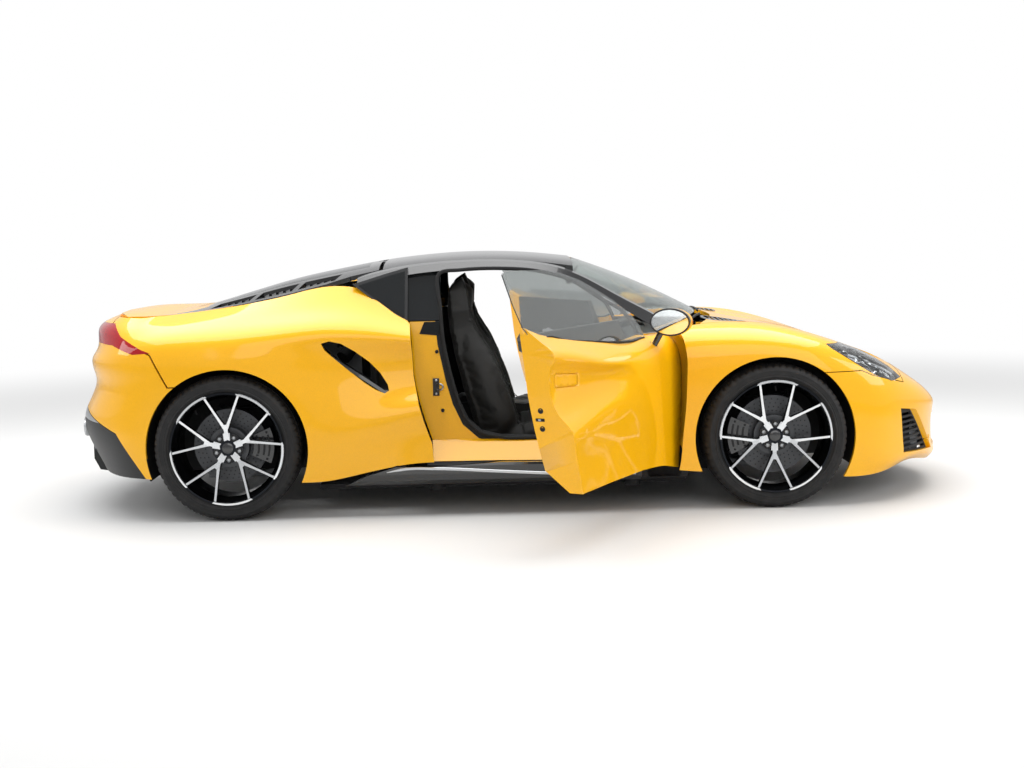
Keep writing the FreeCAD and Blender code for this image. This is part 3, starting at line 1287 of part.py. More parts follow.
def tyre(radius, width):
    half = width / 2
    side = [(RIM_RADIUS - BEAD_RADIUS, half - BEAD_DEPTH), (RIM_RADIUS - FLANGE_DROP, half - BEAD_INSET),
            (RIM_RADIUS + BEAD_RADIUS, half)]
    side += [(radius - drop, half - inset) for drop, inset in TYRE_SHOULDERS]
    profile = side + [(r, -y) for r, y in side[::-1]]
    return polygon_face([V(r, y, 0) for r, y in profile]).revolve(V(0, 0, 0), V(0, 1, 0), 360)


def spoke(stations, face, start_angle, end_angle):
    """Tapered spoke through stations, from one angle on the wheel to another."""
    wires = []
    first = stations[0][0]
    last = stations[-1][0]
    turn = math.radians(start_angle)
    start = V(math.cos(turn), 0, math.sin(turn)) * first
    turn = math.radians(end_angle)
    run = V(math.cos(turn), 0, math.sin(turn)) * last - start
    across = V(-run.z, 0, run.x)
    across.normalize()
    for radius, half, recess, depth in stations:
        centre = start + run * ((radius - first) / (last - first)) + V(0, face - recess, 0)
        corners = [centre - across * (half * SPOKE_TAPER_SHARE), centre + across * (half * SPOKE_TAPER_SHARE),
                   centre + across * half - V(0, depth, 0), centre - across * half - V(0, depth, 0)]
        wires.append(Part.makePolygon(corners + [corners[0]]))
    return Part.makeLoft(wires, True, True)


def rim(width, phase):
    """Alloy wheel: barrel, forked spokes, and arcs that join neighbouring forks."""
    half = width / 2
    (inner_drop, inner_inset), (mid_drop, mid_inset) = BARREL_DROPS
    profile = [(RIM_RADIUS - FLANGE_DROP, -half + FLANGE_INSET), (RIM_RADIUS - inner_drop, -half + inner_inset),
               (RIM_RADIUS - mid_drop, half - mid_inset), (RIM_RADIUS - RIM_LIP_DROP, half - FLANGE_DROP),
               (RIM_RADIUS - FLANGE_DROP, half - FLANGE_DROP), (RIM_RADIUS - FLANGE_DROP, half - BEAD_INSET),
               (RIM_RADIUS - BEAD_RADIUS, half - BEAD_DEPTH), (RIM_RADIUS - BEAD_RADIUS, -half + BEAD_DEPTH),
               (RIM_RADIUS - FLANGE_DROP, -half + BEAD_INSET)]
    body = polygon_face([V(r, y, 0) for r, y in profile]).revolve(V(0, 0, 0), V(0, 1, 0), 360)
    body = body.fuse(Part.makeCylinder(HUB_DISC_RADIUS, HUB_DISC_DEPTH, V(0, half - HUB_DISC_RECESS, 0),
                                       V(0, 1, 0)))
    inner, outer, recess, depth = RIM_ARC
    bar = [V(inner, half - recess, 0), V(outer, half - recess, 0), V(outer, half - depth, 0),
           V(inner, half - depth, 0)]
    gap = 360.0 / WHEEL_FORKS - 2 * FORK_HALF_ANGLE
    for fork in range(WHEEL_FORKS):
        stem = phase + fork * 360.0 / WHEEL_FORKS
        body = body.fuse(spoke(STEM_STATIONS, half, stem, stem))
        for side in (-1, 1):
            body = body.fuse(spoke(ARM_STATIONS, half, stem, stem + side * FORK_HALF_ANGLE))
        arc = polygon_face(bar).revolve(V(0, 0, 0), V(0, 1, 0), -gap)
        arc.rotate(V(0, 0, 0), V(0, 1, 0), -stem - FORK_HALF_ANGLE)
        body = body.fuse(arc)
    return body


def placed_wheel(shape, axle, radius, track_half):
    moved = shape.copy()
    moved.translate(V(axle, track_half, radius))
    return moved


def along_axle(radius, y_from, y_to):
    """Cylinder about the axle."""
    return Part.makeCylinder(radius, y_to - y_from, V(0, y_from, 0), V(0, 1, 0))


def brake_disc(radius, wheel_half):
    """Disc with its hat, which reaches out to the rim's mounting face."""
    hat = along_axle(HAT_RADIUS, DISC_INNER, wheel_half - HUB_DISC_RECESS)
    return along_axle(radius, DISC_INNER, DISC_INNER + DISC_DEPTH).fuse(hat).cut(
        along_axle(HUB_RADIUS, -OVERRUN, OVERRUN))


def caliper(centre_angle, disc_radius):
    """Brake caliper that spans an arc of the disc, in two halves joined over its rim."""
    low, high = CALIPER_ENDS
    body = along_axle(disc_radius + CALIPER_RISE, low, high)
    body = body.cut(along_axle(disc_radius - CALIPER_DROP, -OVERRUN, OVERRUN))
    body = body.cut(along_axle(disc_radius + CALIPER_GAP, DISC_INNER - CALIPER_GAP,
                               DISC_INNER + DISC_DEPTH + CALIPER_GAP))
    corners = [V(0, -OVERRUN, 0)]
    for angle in (centre_angle - CALIPER_SPAN, centre_angle + CALIPER_SPAN):
        turn = math.radians(angle)
        corners.append(V(math.cos(turn), 0, math.sin(turn)) * OVERRUN - V(0, OVERRUN, 0))
    return body.common(polygon_face(corners).extrude(V(0, 2 * OVERRUN, 0)))


def upright(disc_radius, caliper_angle):
    length, depth = UPRIGHT_SIZE
    plate = block(V(0, -KINGPIN_INSET, 0), V(-length / 2, -depth / 2, -UPRIGHT_HALF),
                  V(length / 2, depth / 2, UPRIGHT_HALF))
    hub = along_axle(HUB_RADIUS - RUNNING_GAP, -KINGPIN_INSET, HUB_NOSE)
    bridge_depth, bridge_height = BRIDGE_SIZE
    bridge = block(V(0, BRIDGE_PLACE, 0), V(0, 0, -bridge_height / 2),
                   V(disc_radius - BRIDGE_SHORT, bridge_depth, bridge_height / 2))
    bridge.rotate(V(0, 0, 0), V(0, 1, 0), -caliper_angle)
    return joined([plate, hub, bridge, caliper(caliper_angle, disc_radius)])


def knuckle():
    """Front upright, bored for the ball joints that it steers on."""
    bore = Part.makeCylinder(BALL_RADIUS + RUNNING_GAP, 2 * WIDTH, V(0, -KINGPIN_INSET, -WIDTH))
    socket = UPRIGHT_HALF - BALL_SOCKET
    middle = Part.makeCylinder(2 * BALL_RADIUS, 2 * socket, V(0, -KINGPIN_INSET, -socket))
    return upright(FRONT_DISC_RADIUS, 180.0).cut(bore.cut(middle))


def wishbones(axle, radius, track_half):
    """Upper and lower wishbones from the chassis rail to the upright, with their ball pins."""
    y_out = track_half - KINGPIN_INSET
    length, depth, height = ARM_POST
    pieces = [block(V(axle, ARM_POST_INNER, radius), V(-length / 2, 0, -height / 2),
                    V(length / 2, depth, height / 2))]
    for side in (-1, 1):
        z = radius + side * (UPRIGHT_HALF + ARM_RISE)
        pieces.append(Part.makeCylinder(BOSS_RADIUS, BOSS_DEPTH, V(axle, y_out, z - BOSS_DEPTH / 2)))
        pieces.append(Part.makeCylinder(BALL_RADIUS, BALL_PIN_LENGTH,
                                        V(axle, y_out, z - BALL_PIN_LENGTH / 2 - side * BALL_PIN_SHIFT)))
        for lean in (-ARM_SPREAD, ARM_SPREAD):
            start = V(axle + lean, ARM_ROOT, z)
            run = V(axle, y_out, z) - start
            pieces.append(Part.makeCylinder(ARM_RADIUS, run.Length, start, run))
    return joined(pieces)


def export(name, shape):
    shape.exportStep("parts/" + name + ".step")


def main():
    os.makedirs("parts", exist_ok=True)
    front = (FRONT_AXLE, FRONT_TYRE_RADIUS, FRONT_TRACK_HALF)
    rear = (REAR_AXLE, REAR_TYRE_RADIUS, REAR_TRACK_HALF)
    front_corner = wishbones(*front)
    rear_corner = wishbones(*rear).fuse(placed_wheel(upright(REAR_DISC_RADIUS, 0.0), *rear))
    door = door_shut()
    dash = dashboard()
    wing = front_wing()
    quarter = rear_quarter()
    nose = nose_panel().cut(tow_eye(TOW_EYE_RADIUS + CLEARANCE, 0.0))
    bumper = rear_bumper()
    roof = roof_panel()
    tub = floor_tub()
    walls = bulkheads().cut(tub)
    rails = chassis_rails().cut(tub).cut(walls)
    frame = cabin_frame().cut(quarter).cut(mirrored(quarter)).cut(roof).cut(tailgate_room())
    jamb = side_frame().cut(tub).cut(walls).cut(frame)
    skirt = side_skirt().cut(tub).cut(jamb).cut(quarter)
    liners = Part.makeCompound([arch_liner(FRONT_AXLE, LINER_INNER_FRONT),
                                arch_liner(REAR_AXLE, LINER_INNER_REAR)])
    for piece in (wing, nose, front_corner, rear_corner, quarter, skirt, rails):
        liners = liners.cut(piece)
    left_right = {
        "front_wing": wing,
        "rear_quarter": quarter,
        "side_frame": jamb,
        "seat": seat(),
        "door": opened(door),
        "door_trim": opened(door_trim_shut()),
        "door_glass": opened(leaning_sheet(GLASS_OUTLINE)),
        "door_mirror": opened(mirror_shut().cut(door)),
    }
    for name, shape in left_right.items():
        export(name + "_left", shape)
        export(name + "_right", mirrored(shape))
    single = {
        "floor_tub": tub,
        "bulkheads": walls,
        "chassis_rails": rails,
        "nose_panel": nose,
        "front_grille": front_grille().cut(tow_eye(TOW_EYE_RADIUS + CLEARANCE, 0.0)),
        "rear_bumper": bumper,
        "diffuser": diffuser().cut(bumper).cut(rails),
        "side_skirts": both_sides(skirt),
        "door_bands": both_sides(door_band().cut(jamb).cut(frame)),
        "cabin_frame": frame,
        "roof_panel": roof,
        "windscreen": windscreen().cut(frame).cut(roof),
        "quarter_glass": both_sides(leaning_sheet(QUARTER_GLASS_OUTLINE)),
        "side_intakes": both_sides(side_intake().cut(quarter)),
        "headlamps": both_sides(headlamp()),
        "tail_lamps": both_sides(tail_lamp()),
        "bonnet": bonnet(),
        "tailgate": tailgate(),
        "tailgate_frame": louvre_frame(),
        "tailgate_glass": tailgate_glass(),
        "dashboard": dash,
        "centre_console": centre_console().cut(dash).cut(tub).cut(walls).cut(frame),
        "cowl_panel": cowl_panel().cut(jamb).cut(mirrored(jamb)),
        "front_tray": luggage_tub(FRONT_LUGGAGE).cut(rails),
        "boot_tub": luggage_tub(REAR_LUGGAGE).cut(rails),
        "engine_block": centred(ENGINE),
        "arch_liners": both_sides(liners),
        "steering_wheel": steering_wheel(),
    }
    for name, shape in single.items():
        export(name, shape)
    front_rim = rim(FRONT_TYRE_WIDTH, FRONT_FORK_PHASE)
    rear_rim = rim(REAR_TYRE_WIDTH, REAR_FORK_PHASE)
    wheel_parts = {
        "tyre_front": placed_wheel(tyre(FRONT_TYRE_RADIUS, FRONT_TYRE_WIDTH).cut(front_rim), *front),
        "rim_front": placed_wheel(front_rim, *front),
        "brake_disc_front": placed_wheel(brake_disc(FRONT_DISC_RADIUS, FRONT_TYRE_WIDTH / 2), *front),
        "knuckle_front": placed_wheel(knuckle(), *front),
        "tyre_rear": placed_wheel(tyre(REAR_TYRE_RADIUS, REAR_TYRE_WIDTH).cut(rear_rim), *rear),
        "rim_rear": placed_wheel(rear_rim, *rear),
        "brake_disc_rear": placed_wheel(brake_disc(REAR_DISC_RADIUS, REAR_TYRE_WIDTH / 2), *rear),
    }
    for name, shape in wheel_parts.items():
        export(name + "_left", shape)
        export(name + "_right", mirrored(shape))
    export("front_suspension", both_sides(front_corner))
    export("rear_suspension", both_sides(rear_corner))


main()
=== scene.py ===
"""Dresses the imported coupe: smooth painted panels, glass, wheels, lamps, cabin and studio."""
import math

import bmesh
import bpy
import numpy as np
from mathutils import Matrix, Vector, kdtree
from mathutils.bvhtree import BVHTree


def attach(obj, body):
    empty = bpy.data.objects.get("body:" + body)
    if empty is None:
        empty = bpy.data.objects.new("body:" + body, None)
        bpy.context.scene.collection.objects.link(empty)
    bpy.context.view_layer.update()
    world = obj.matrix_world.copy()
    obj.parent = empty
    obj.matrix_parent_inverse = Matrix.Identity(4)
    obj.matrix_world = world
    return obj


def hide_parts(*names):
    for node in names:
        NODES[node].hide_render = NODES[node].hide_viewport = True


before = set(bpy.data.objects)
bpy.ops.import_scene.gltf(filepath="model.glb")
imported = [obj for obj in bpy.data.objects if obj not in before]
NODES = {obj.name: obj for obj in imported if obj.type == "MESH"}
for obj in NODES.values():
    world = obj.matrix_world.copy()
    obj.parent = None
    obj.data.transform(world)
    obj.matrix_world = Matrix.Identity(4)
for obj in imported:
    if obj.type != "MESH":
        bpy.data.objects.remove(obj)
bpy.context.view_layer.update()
MM = 0.001

bl_info = {
    "name": "Coupe dressing",
    "version": (1, 0, 0),
    "blender": (4, 5, 0),
    "location": "View3D > Sidebar > Coupe",
    "description": "Adds the looks of a mid-engined coupe to its packed solids",
    "category": "Object",
}


# Panels round the tail: centre and heading of each profile, then its points
# as the step outward and the height
TAIL_PROFILES = [
    ((-2150, 0), (-1.0, 0.0), [(-40, 200), (48, 370), (52, 475), (5, 560), (-22, 640), (0, 740), (-40, 800),
     (-35, 890), (-150, 952)]),
    ((-2100, 420), (-0.96, 0.28), [(-45, 200), (35, 370), (38, 475), (0, 560), (-25, 640), (0, 740),
     (-45, 800), (-40, 888), (-150, 950)]),
    ((-1975, 720), (-0.75, 0.66), [(-40, 200), (15, 360), (18, 470), (0, 560), (-15, 640), (0, 745),
     (-25, 800), (-45, 880), (-140, 950)]),
    ((-1830, 870), (-0.35, 0.94), [(-15, 205), (12, 350), (10, 470), (5, 560), (0, 640), (5, 740),
     (-5, 810), (-60, 880), (-200, 948)]),
]

# Profiles along the flank: the place along the car, then half width and height
FLANK_PROFILES = [
    (-1700, [(920, 205), (926, 345), (927, 470), (928, 580), (928, 680), (925, 775), (895, 850), (790, 905),
     (620, 955)]),
    (-1352, [(935, 190), (940, 330), (943, 480), (945, 600), (942, 700), (935, 790), (905, 868), (780, 930),
     (610, 990)]),
    (-1100, [(935, 180), (938, 320), (940, 460), (938, 590), (932, 700), (925, 800), (905, 885), (770, 950),
     (615, 1035)]),
    (-900, [(920, 175), (925, 300), (926, 430), (915, 570), (905, 690), (905, 800), (905, 893), (770, 965),
     (625, 1080)]),
    (-700, [(918, 215), (925, 330), (926, 470), (895, 585), (872, 690), (878, 790), (893, 872), (780, 950),
     (655, 1062)]),
    (-475, [(937, 257), (926, 400), (925, 525), (862, 591), (836, 690), (838, 775), (868, 832), (805, 880),
     (740, 930)]),
    (-250, [(928, 256), (918, 390), (915, 545), (862, 610), (842, 690), (848, 755), (880, 800), (820, 850),
     (765, 888)]),
    (-65, [(925, 255), (914, 390), (905, 565), (868, 630), (850, 690), (862, 735), (890, 768), (838, 815),
     (785, 858)]),
    (150, [(922, 252), (912, 380), (905, 560), (885, 625), (872, 680), (878, 720), (888, 750), (845, 795),
     (792, 835)]),
    (400, [(920, 245), (912, 370), (910, 500), (903, 620), (897, 680), (890, 720), (875, 757), (845, 785),
     (798, 808)]),
    (600, [(917, 225), (914, 350), (914, 480), (912, 600), (907, 685), (897, 735), (878, 775), (842, 805),
     (785, 824)]),
    (760, [(915, 190), (915, 330), (916, 480), (916, 600), (912, 690), (903, 750), (880, 797), (835, 832),
     (760, 850)]),
    (950, [(918, 180), (920, 330), (922, 480), (922, 600), (920, 695), (910, 760), (885, 810), (815, 848),
     (700, 868)]),
    (1222, [(922, 180), (925, 330), (927, 480), (927, 600), (925, 700), (914, 762), (885, 805), (800, 842),
     (660, 858)]),
    (1430, [(915, 150), (922, 300), (924, 430), (922, 540), (915, 640), (900, 715), (870, 762), (800, 792),
     (660, 808)]),
    (1590, [(885, 135), (897, 260), (900, 380), (898, 480), (890, 570), (875, 640), (845, 695), (780, 735),
     (655, 752)]),
]

# Panels round the nose, as at the tail
NOSE_PROFILES = [
    ((1750, 850), (0.35, 0.94), [(-35, 140), (-5, 200), (0, 300), (0, 400), (-5, 480), (-15, 550),
     (-40, 620), (-100, 680), (-190, 715)]),
    ((1950, 700), (0.72, 0.69), [(-60, 175), (-15, 215), (-22, 300), (-28, 380), (-32, 440), (-40, 500),
     (-70, 560), (-130, 615), (-200, 660)]),
    ((2110, 420), (0.94, 0.34), [(-30, 140), (0, 178), (-8, 250), (-12, 330), (-8, 400), (-10, 445),
     (-50, 500), (-120, 555), (-210, 615)]),
    ((2206, 0), (1.0, 0.0), [(-26, 130), (0, 170), (-12, 240), (-18, 312), (-6, 385), (0, 412), (-45, 462),
     (-130, 525), (-235, 594)]),
]
PROFILE_SPACING = [0, 120, 230, 320, 410, 500, 570, 640, 760]
GUIDE_ROW = 4
ROUND_COUNT = 60
RISE_COUNT = 19

# Upper surface over the centre: the place along the car, then half width and
# height from the middle out to the edge
BONNET_PROFILES = [
    (760, [(0, 925), (280, 922), (540, 895), (760, 850)]),
    (950, [(0, 893), (260, 890), (500, 878), (700, 868)]),
    (1222, [(0, 842), (240, 841), (480, 843), (660, 858)]),
    (1430, [(0, 797), (230, 796), (460, 796), (655, 808)]),
    (1590, [(0, 752), (220, 750), (440, 746), (650, 752)]),
    (1750, [(0, 697), (210, 695), (420, 690), (640, 690)]),
    (1880, [(0, 640), (180, 638), (340, 632), (540, 622)]),
    (2000, [(0, 580), (150, 576), (300, 565), (480, 550)]),
]
ROOF_PROFILES = [
    (340, [(0, 1186), (300, 1180), (470, 1163), (580, 1132)]),
    (100, [(0, 1214), (300, 1208), (480, 1192), (600, 1160)]),
    (-200, [(0, 1225), (300, 1219), (480, 1203), (610, 1172)]),
    (-450, [(0, 1212), (300, 1206), (480, 1190), (615, 1156)]),
    (-650, [(0, 1190), (300, 1184), (480, 1166), (622, 1128)]),
    (-830, [(0, 1160), (300, 1153), (480, 1134), (628, 1095)]),
    (-1109, [(0, 1106), (300, 1099), (480, 1079), (615, 1033)]),
    (-1352, [(0, 1040), (300, 1034), (480, 1019), (610, 990)]),
    (-1550, [(0, 984), (300, 982), (480, 976), (615, 965)]),
    (-1700, [(0, 958), (300, 957), (480, 956), (620, 955)]),
    (-1845, [(0, 966), (300, 965), (480, 962), (640, 953)]),
    (-2040, [(0, 955), (300, 955), (480, 952), (660, 945)]),
]

# Windscreen, from its foot to its head, each from the middle out to the pillar
SCREEN_ROWS = [
    [(955, 0, 903), (935, 240, 900), (865, 480, 888), (735, 690, 862)],
    [(760, 0, 1003), (740, 225, 1000), (675, 445, 987), (560, 645, 955)],
    [(545, 0, 1100), (527, 210, 1096), (465, 415, 1082), (365, 608, 1052)],
    [(325, 0, 1182), (310, 195, 1178), (262, 385, 1163), (195, 565, 1132)],
]


# Smooth forms of the body, from the same measured points as the solids

def metres(point):
    return np.array(point, float) * MM


def carried(points, matrix):
    """Points moved by a matrix."""
    return np.asarray(points, float) @ np.array(matrix.to_3x3()).T + np.array(matrix.translation)


def slopes_of(values, knots):
    """Slope at each value for a smooth curve through all of them."""
    slopes = np.zeros_like(values)
    step = np.diff(knots)[:, None]
    rise = np.diff(values, axis=0) / step
    slopes[0] = rise[0]
    slopes[-1] = rise[-1]
    slopes[1:-1] = (rise[:-1] * step[1:] + rise[1:] * step[:-1]) / (step[1:] + step[:-1])
    return slopes


def along(values, knots, count):
    """Evenly spaced values on the smooth curve through the given ones, along the first axis."""
    values = np.asarray(values, float)
    shape = values.shape[1:]
    values = values.reshape(len(values), -1)
    knots = np.asarray(knots, float)
    slopes = slopes_of(values, knots)
    places = np.linspace(knots[0], knots[-1], count)
    part = np.clip(np.searchsorted(knots, places, side="left") - 1, 0, len(knots) - 2)
    span = (knots[part + 1] - knots[part])[:, None]
    t = (places - knots[part])[:, None] / span
    rise = 3 * t ** 2 - 2 * t ** 3
    result = (values[part] * (1 - rise) + values[part + 1] * rise
              + slopes[part] * span * (t ** 3 - 2 * t ** 2 + t)
              + slopes[part + 1] * span * (t ** 3 - t ** 2))
    return result.reshape((count,) + shape)


def steering_grid(rows, spacing, count_round, count_rise, guide):
    """Evenly spaced grid of poles through a few profiles of points."""
    rows = np.array(rows, float)
    gaps = np.linalg.norm(np.diff(rows[:, guide], axis=0), axis=1)
    knots = np.concatenate([[0.0], np.cumsum(gaps)])
    grid = along(rows, knots, count_round)
    return np.swapaxes(along(np.swapaxes(grid, 0, 1), spacing, count_rise), 0, 1)


def cubic_weights(poles, count):
    """Weights of a clamped cubic's poles at evenly spaced places."""
    knots = np.concatenate([[0.0] * 3, np.arange(poles - 2), [poles - 3.0] * 3])
    places = np.linspace(0.0, poles - 3.0, count)
    places[-1] -= 1e-9
    weights = ((places[:, None] >= knots[None, :-1]) & (places[:, None] < knots[None, 1:])).astype(float)
    for degree in (1, 2, 3):
        left = knots[degree:-1] - knots[:-degree - 1]
        right = knots[degree + 1:] - knots[1:-degree]
        rising = np.divide(places[:, None] - knots[:-degree - 1], left, where=left > 0,
                           out=np.zeros((count, len(left))))
        falling = np.divide(knots[degree + 1:] - places[:, None], right, where=right > 0,
                            out=np.zeros((count, len(right))))
        weights = rising * weights[:, :-1] + falling * weights[:, 1:]
    return weights


def grid_normals(points, outward):
    """Normals of a grid of points, on the side that the given direction points to at its middle."""
    normals = np.cross(np.gradient(points, axis=0), np.gradient(points, axis=1))
    normals /= np.linalg.norm(normals, axis=2, keepdims=True)
    middle = normals[points.shape[0] // 2, points.shape[1] // 2]
    return normals if middle @ np.array(outward, float) >= 0 else -normals


class SmoothForm:
    """A fine grid of points on one of the body's surfaces, with its normals."""

    def __init__(self, points, outward):
        self.points = points
        rows, columns = points.shape[:2]
        first = (np.arange(rows - 1)[:, None] * columns + np.arange(columns - 1)[None, :]).ravel()
        self.triangles = np.concatenate([
            np.stack([first, first + columns, first + columns + 1], 1),
            np.stack([first, first + columns + 1, first + 1], 1)])
        self.flat_points = points.reshape(-1, 3)
        self.flat_normals = grid_normals(points, outward).reshape(-1, 3)
        self.tree = BVHTree.FromPolygons(self.flat_points.tolist(), self.triangles.tolist())

    @classmethod
    def from_poles(cls, poles, count_round, count_rise, outward):
        round_weights = cubic_weights(poles.shape[0], count_round)
        rise_weights = cubic_weights(poles.shape[1], count_rise)
        points = np.einsum("ai,bj,ijk->abk", round_weights, rise_weights, poles)
        return cls(points, outward)

    def changed(self, matrix, outward):
        """The same form turned, moved or mirrored by a matrix."""
        return SmoothForm(carried(self.points, matrix), outward)

    def nearest(self, places):
        """Nearest point, normal and distance on the form for each place."""
        found = [self.tree.find_nearest(Vector(place)) for place in places]
        spots = np.array([hit[0] for hit in found])
        faces = self.triangles[[hit[2] for hit in found]]
        distances = np.array([hit[3] for hit in found])
        a, b, c = (self.flat_points[faces[:, i]] for i in range(3))
        ab, ac, ap = b - a, c - a, spots - a
        d00 = (ab * ab).sum(1)
        d01 = (ab * ac).sum(1)
        d11 = (ac * ac).sum(1)
        d20 = (ap * ab).sum(1)
        d21 = (ap * ac).sum(1)
        area = np.maximum(d00 * d11 - d01 * d01, 1e-18)
        v = (d11 * d20 - d01 * d21) / area
        w = (d00 * d21 - d01 * d20) / area
        shares = np.stack([1 - v - w, v, w], 1)
        normals = (self.flat_normals[faces] * shares[:, :, None]).sum(1)
        normals /= np.linalg.norm(normals, axis=1, keepdims=True)
        return spots, normals, distances


def profile_points(profile):
    centre, heading, steps = profile
    return [(centre[0] + heading[0] * step, centre[1] + heading[1] * step, height)
            for step, height in steps]


def wrap_form():
    """The left side of the body, from the middle of the tail round to the middle of the nose."""
    rows = [profile_points(profile) for profile in TAIL_PROFILES]
    rows += [[(x, y, z) for y, z in points] for x, points in FLANK_PROFILES]
    rows += [profile_points(profile) for profile in NOSE_PROFILES]
    poles = steering_grid(metres(rows), PROFILE_SPACING, ROUND_COUNT, RISE_COUNT, GUIDE_ROW)
    return SmoothForm.from_poles(poles, 620, 130, (0, 1, 0))


def both_halves(rows):
    """Rows from the middle out, in mm, as rows across the whole car, in metres."""
    rows = metres(rows)
    mirrored = rows[:, :0:-1] * np.array([1, -1, 1])
    return np.concatenate([mirrored, rows], axis=1)


def upper_form(profiles, count_along, count_across, fine_along, fine_across):
    """The bonnet's or the roof's surface: its poles, then the finer grid of points on it."""
    rows = both_halves([[(x, y, z) for y, z in points] for x, points in profiles])
    poles = steering_grid(rows, list(range(7)), count_along, count_across, 3)
    return SmoothForm.from_poles(poles, fine_along, fine_across, (0, 0, 1))


MIRROR = Matrix.Scale(-1, 4, (0, 1, 0))
DOOR_HINGE = Matrix.Translation((0.700, 0.862, 0.0))
DOOR_ANGLE = math.radians(62)
# From the left door's shut place to its open place at rest
DOOR_OPEN = DOOR_HINGE @ Matrix.Rotation(-DOOR_ANGLE, 4, "Z") @ DOOR_HINGE.inverted()
WRAP_LEFT = wrap_form()
WRAP_RIGHT = WRAP_LEFT.changed(MIRROR, (0, -1, 0))
WRAP_DOOR_LEFT = WRAP_LEFT.changed(DOOR_OPEN, (-1, 0.3, 0))
WRAP_DOOR_RIGHT = WRAP_DOOR_LEFT.changed(MIRROR, (-1, -0.3, 0))
BONNET_FORM = upper_form(BONNET_PROFILES, 24, 13, 160, 140)
ROOF_FORM = upper_form(ROOF_PROFILES, 30, 13, 280, 140)


class JoinedForms:
    """Two forms searched as one."""

    def __init__(self, left, right):
        self.left = left
        self.right = right

    def nearest(self, places):
        places = np.asarray([list(place) for place in places], float)
        use_left = places[:, 1] >= 0
        spots = np.zeros_like(places)
        normals = np.zeros_like(places)
        distances = np.zeros(len(places))
        for form, chosen in ((self.left, use_left), (self.right, ~use_left)):
            if chosen.any():
                spots[chosen], normals[chosen], distances[chosen] = form.nearest(places[chosen])
        return spots, normals, distances


WRAP_BOTH = JoinedForms(WRAP_LEFT, WRAP_RIGHT)


# Finishes

def linear(code):
    """An sRGB hex colour as linear light."""
    channels = [int(code[i:i + 2], 16) / 255 for i in (1, 3, 5)]
    return tuple(c / 12.92 if c <= 0.04045 else ((c + 0.055) / 1.055) ** 2.4 for c in channels) + (1.0,)


def add_node(tree, kind, settings=None, links=None, attributes=None):
    """Adds a node, sets its sockets and attributes, and links its inputs."""
    node = tree.nodes.new(kind)
    for name, value in (attributes or {}).items():
        setattr(node, name, value)
    for socket, value in (settings or {}).items():
        node.inputs[socket].default_value = value
    for socket, source in (links or {}).items():
        tree.links.new(source, node.inputs[socket])
    return node


def new_material(name):
    """An empty material with its shader and its object coordinates."""
    material = bpy.data.materials.new(name)
    material.use_nodes = True
    tree = material.node_tree
    shader = tree.nodes["Principled BSDF"]
    place = add_node(tree, "ShaderNodeTexCoord").outputs["Object"]
    return material, tree, shader, place


def set_sockets(shader, **values):
    for name, value in values.items():
        shader.inputs[name.replace("_", " ")].default_value = value


def pattern_scale(spacing_mm):
    """Noise scale whose features are about this far apart."""
    return 1.0 / (spacing_mm * MM)


def car_paint(name, colour, flake_depth, coat):
    """Baked metallic basecoat under clear lacquer: fine flakes below, a faint orange peel on top."""
    material, tree, shader, place = new_material(name)
    set_sockets(shader, Roughness=0.4, Specular_IOR_Level=0.15, Coat_Weight=coat, Coat_Roughness=0.035)
    # Real flakes are 0.03 mm; they are drawn 3 mm wide so that they show
    flakes = add_node(tree, "ShaderNodeTexVoronoi", {"Scale": pattern_scale(3.0)}, {"Vector": place})
    tint = add_node(tree, "ShaderNodeMapRange", {"To Min": 1 - flake_depth, "To Max": 1 + flake_depth},
                    {"Value": flakes.outputs["Color"]})
    drift = add_node(tree, "ShaderNodeTexNoise", {"Scale": pattern_scale(1000 / 1.3), "Detail": 1.0},
                     {"Vector": place})
    shade = add_node(tree, "ShaderNodeMapRange", {"To Min": 0.97, "To Max": 1.03},
                     {"Value": drift.outputs["Fac"]})
    mixed = add_node(tree, "ShaderNodeHueSaturation", {"Color": linear(colour)},
                     {"Value": tint.outputs["Result"]}, {"name": "Colour"})
    final = add_node(tree, "ShaderNodeHueSaturation", {}, {"Color": mixed.outputs["Color"],
                                                           "Value": shade.outputs["Result"]})
    tree.links.new(final.outputs["Color"], shader.inputs["Base Color"])
    peel = add_node(tree, "ShaderNodeTexNoise", {"Scale": pattern_scale(5.0), "Detail": 2.0},
                    {"Vector": place})
    bump = add_node(tree, "ShaderNodeBump", {"Strength": 0.025, "Distance": 0.001},
                    {"Height": peel.outputs["Fac"]})
    tree.links.new(bump.outputs["Normal"], shader.inputs["Coat Normal"])
    return material


def gloss_black(name, colour="#0B0C0E"):
    """Piano-black ABS and painted steel: deep black under lacquer with a faint orange peel."""
    material, tree, shader, place = new_material(name)
    set_sockets(shader, Roughness=0.22, Coat_Weight=1.0, Coat_Roughness=0.03)
    peel = add_node(tree, "ShaderNodeTexNoise", {"Scale": pattern_scale(6.0), "Detail": 2.0},
                    {"Vector": place})
    tint = add_node(tree, "ShaderNodeMix", {"A": linear(colour), "B": linear("#121316")},
                    {"Factor": peel.outputs["Fac"]}, {"data_type": "RGBA"})
    tree.links.new(tint.outputs["Result"], shader.inputs["Base Color"])
    bump = add_node(tree, "ShaderNodeBump", {"Strength": 0.02, "Distance": 0.001},
                    {"Height": peel.outputs["Fac"]})
    tree.links.new(bump.outputs["Normal"], shader.inputs["Coat Normal"])
    return material


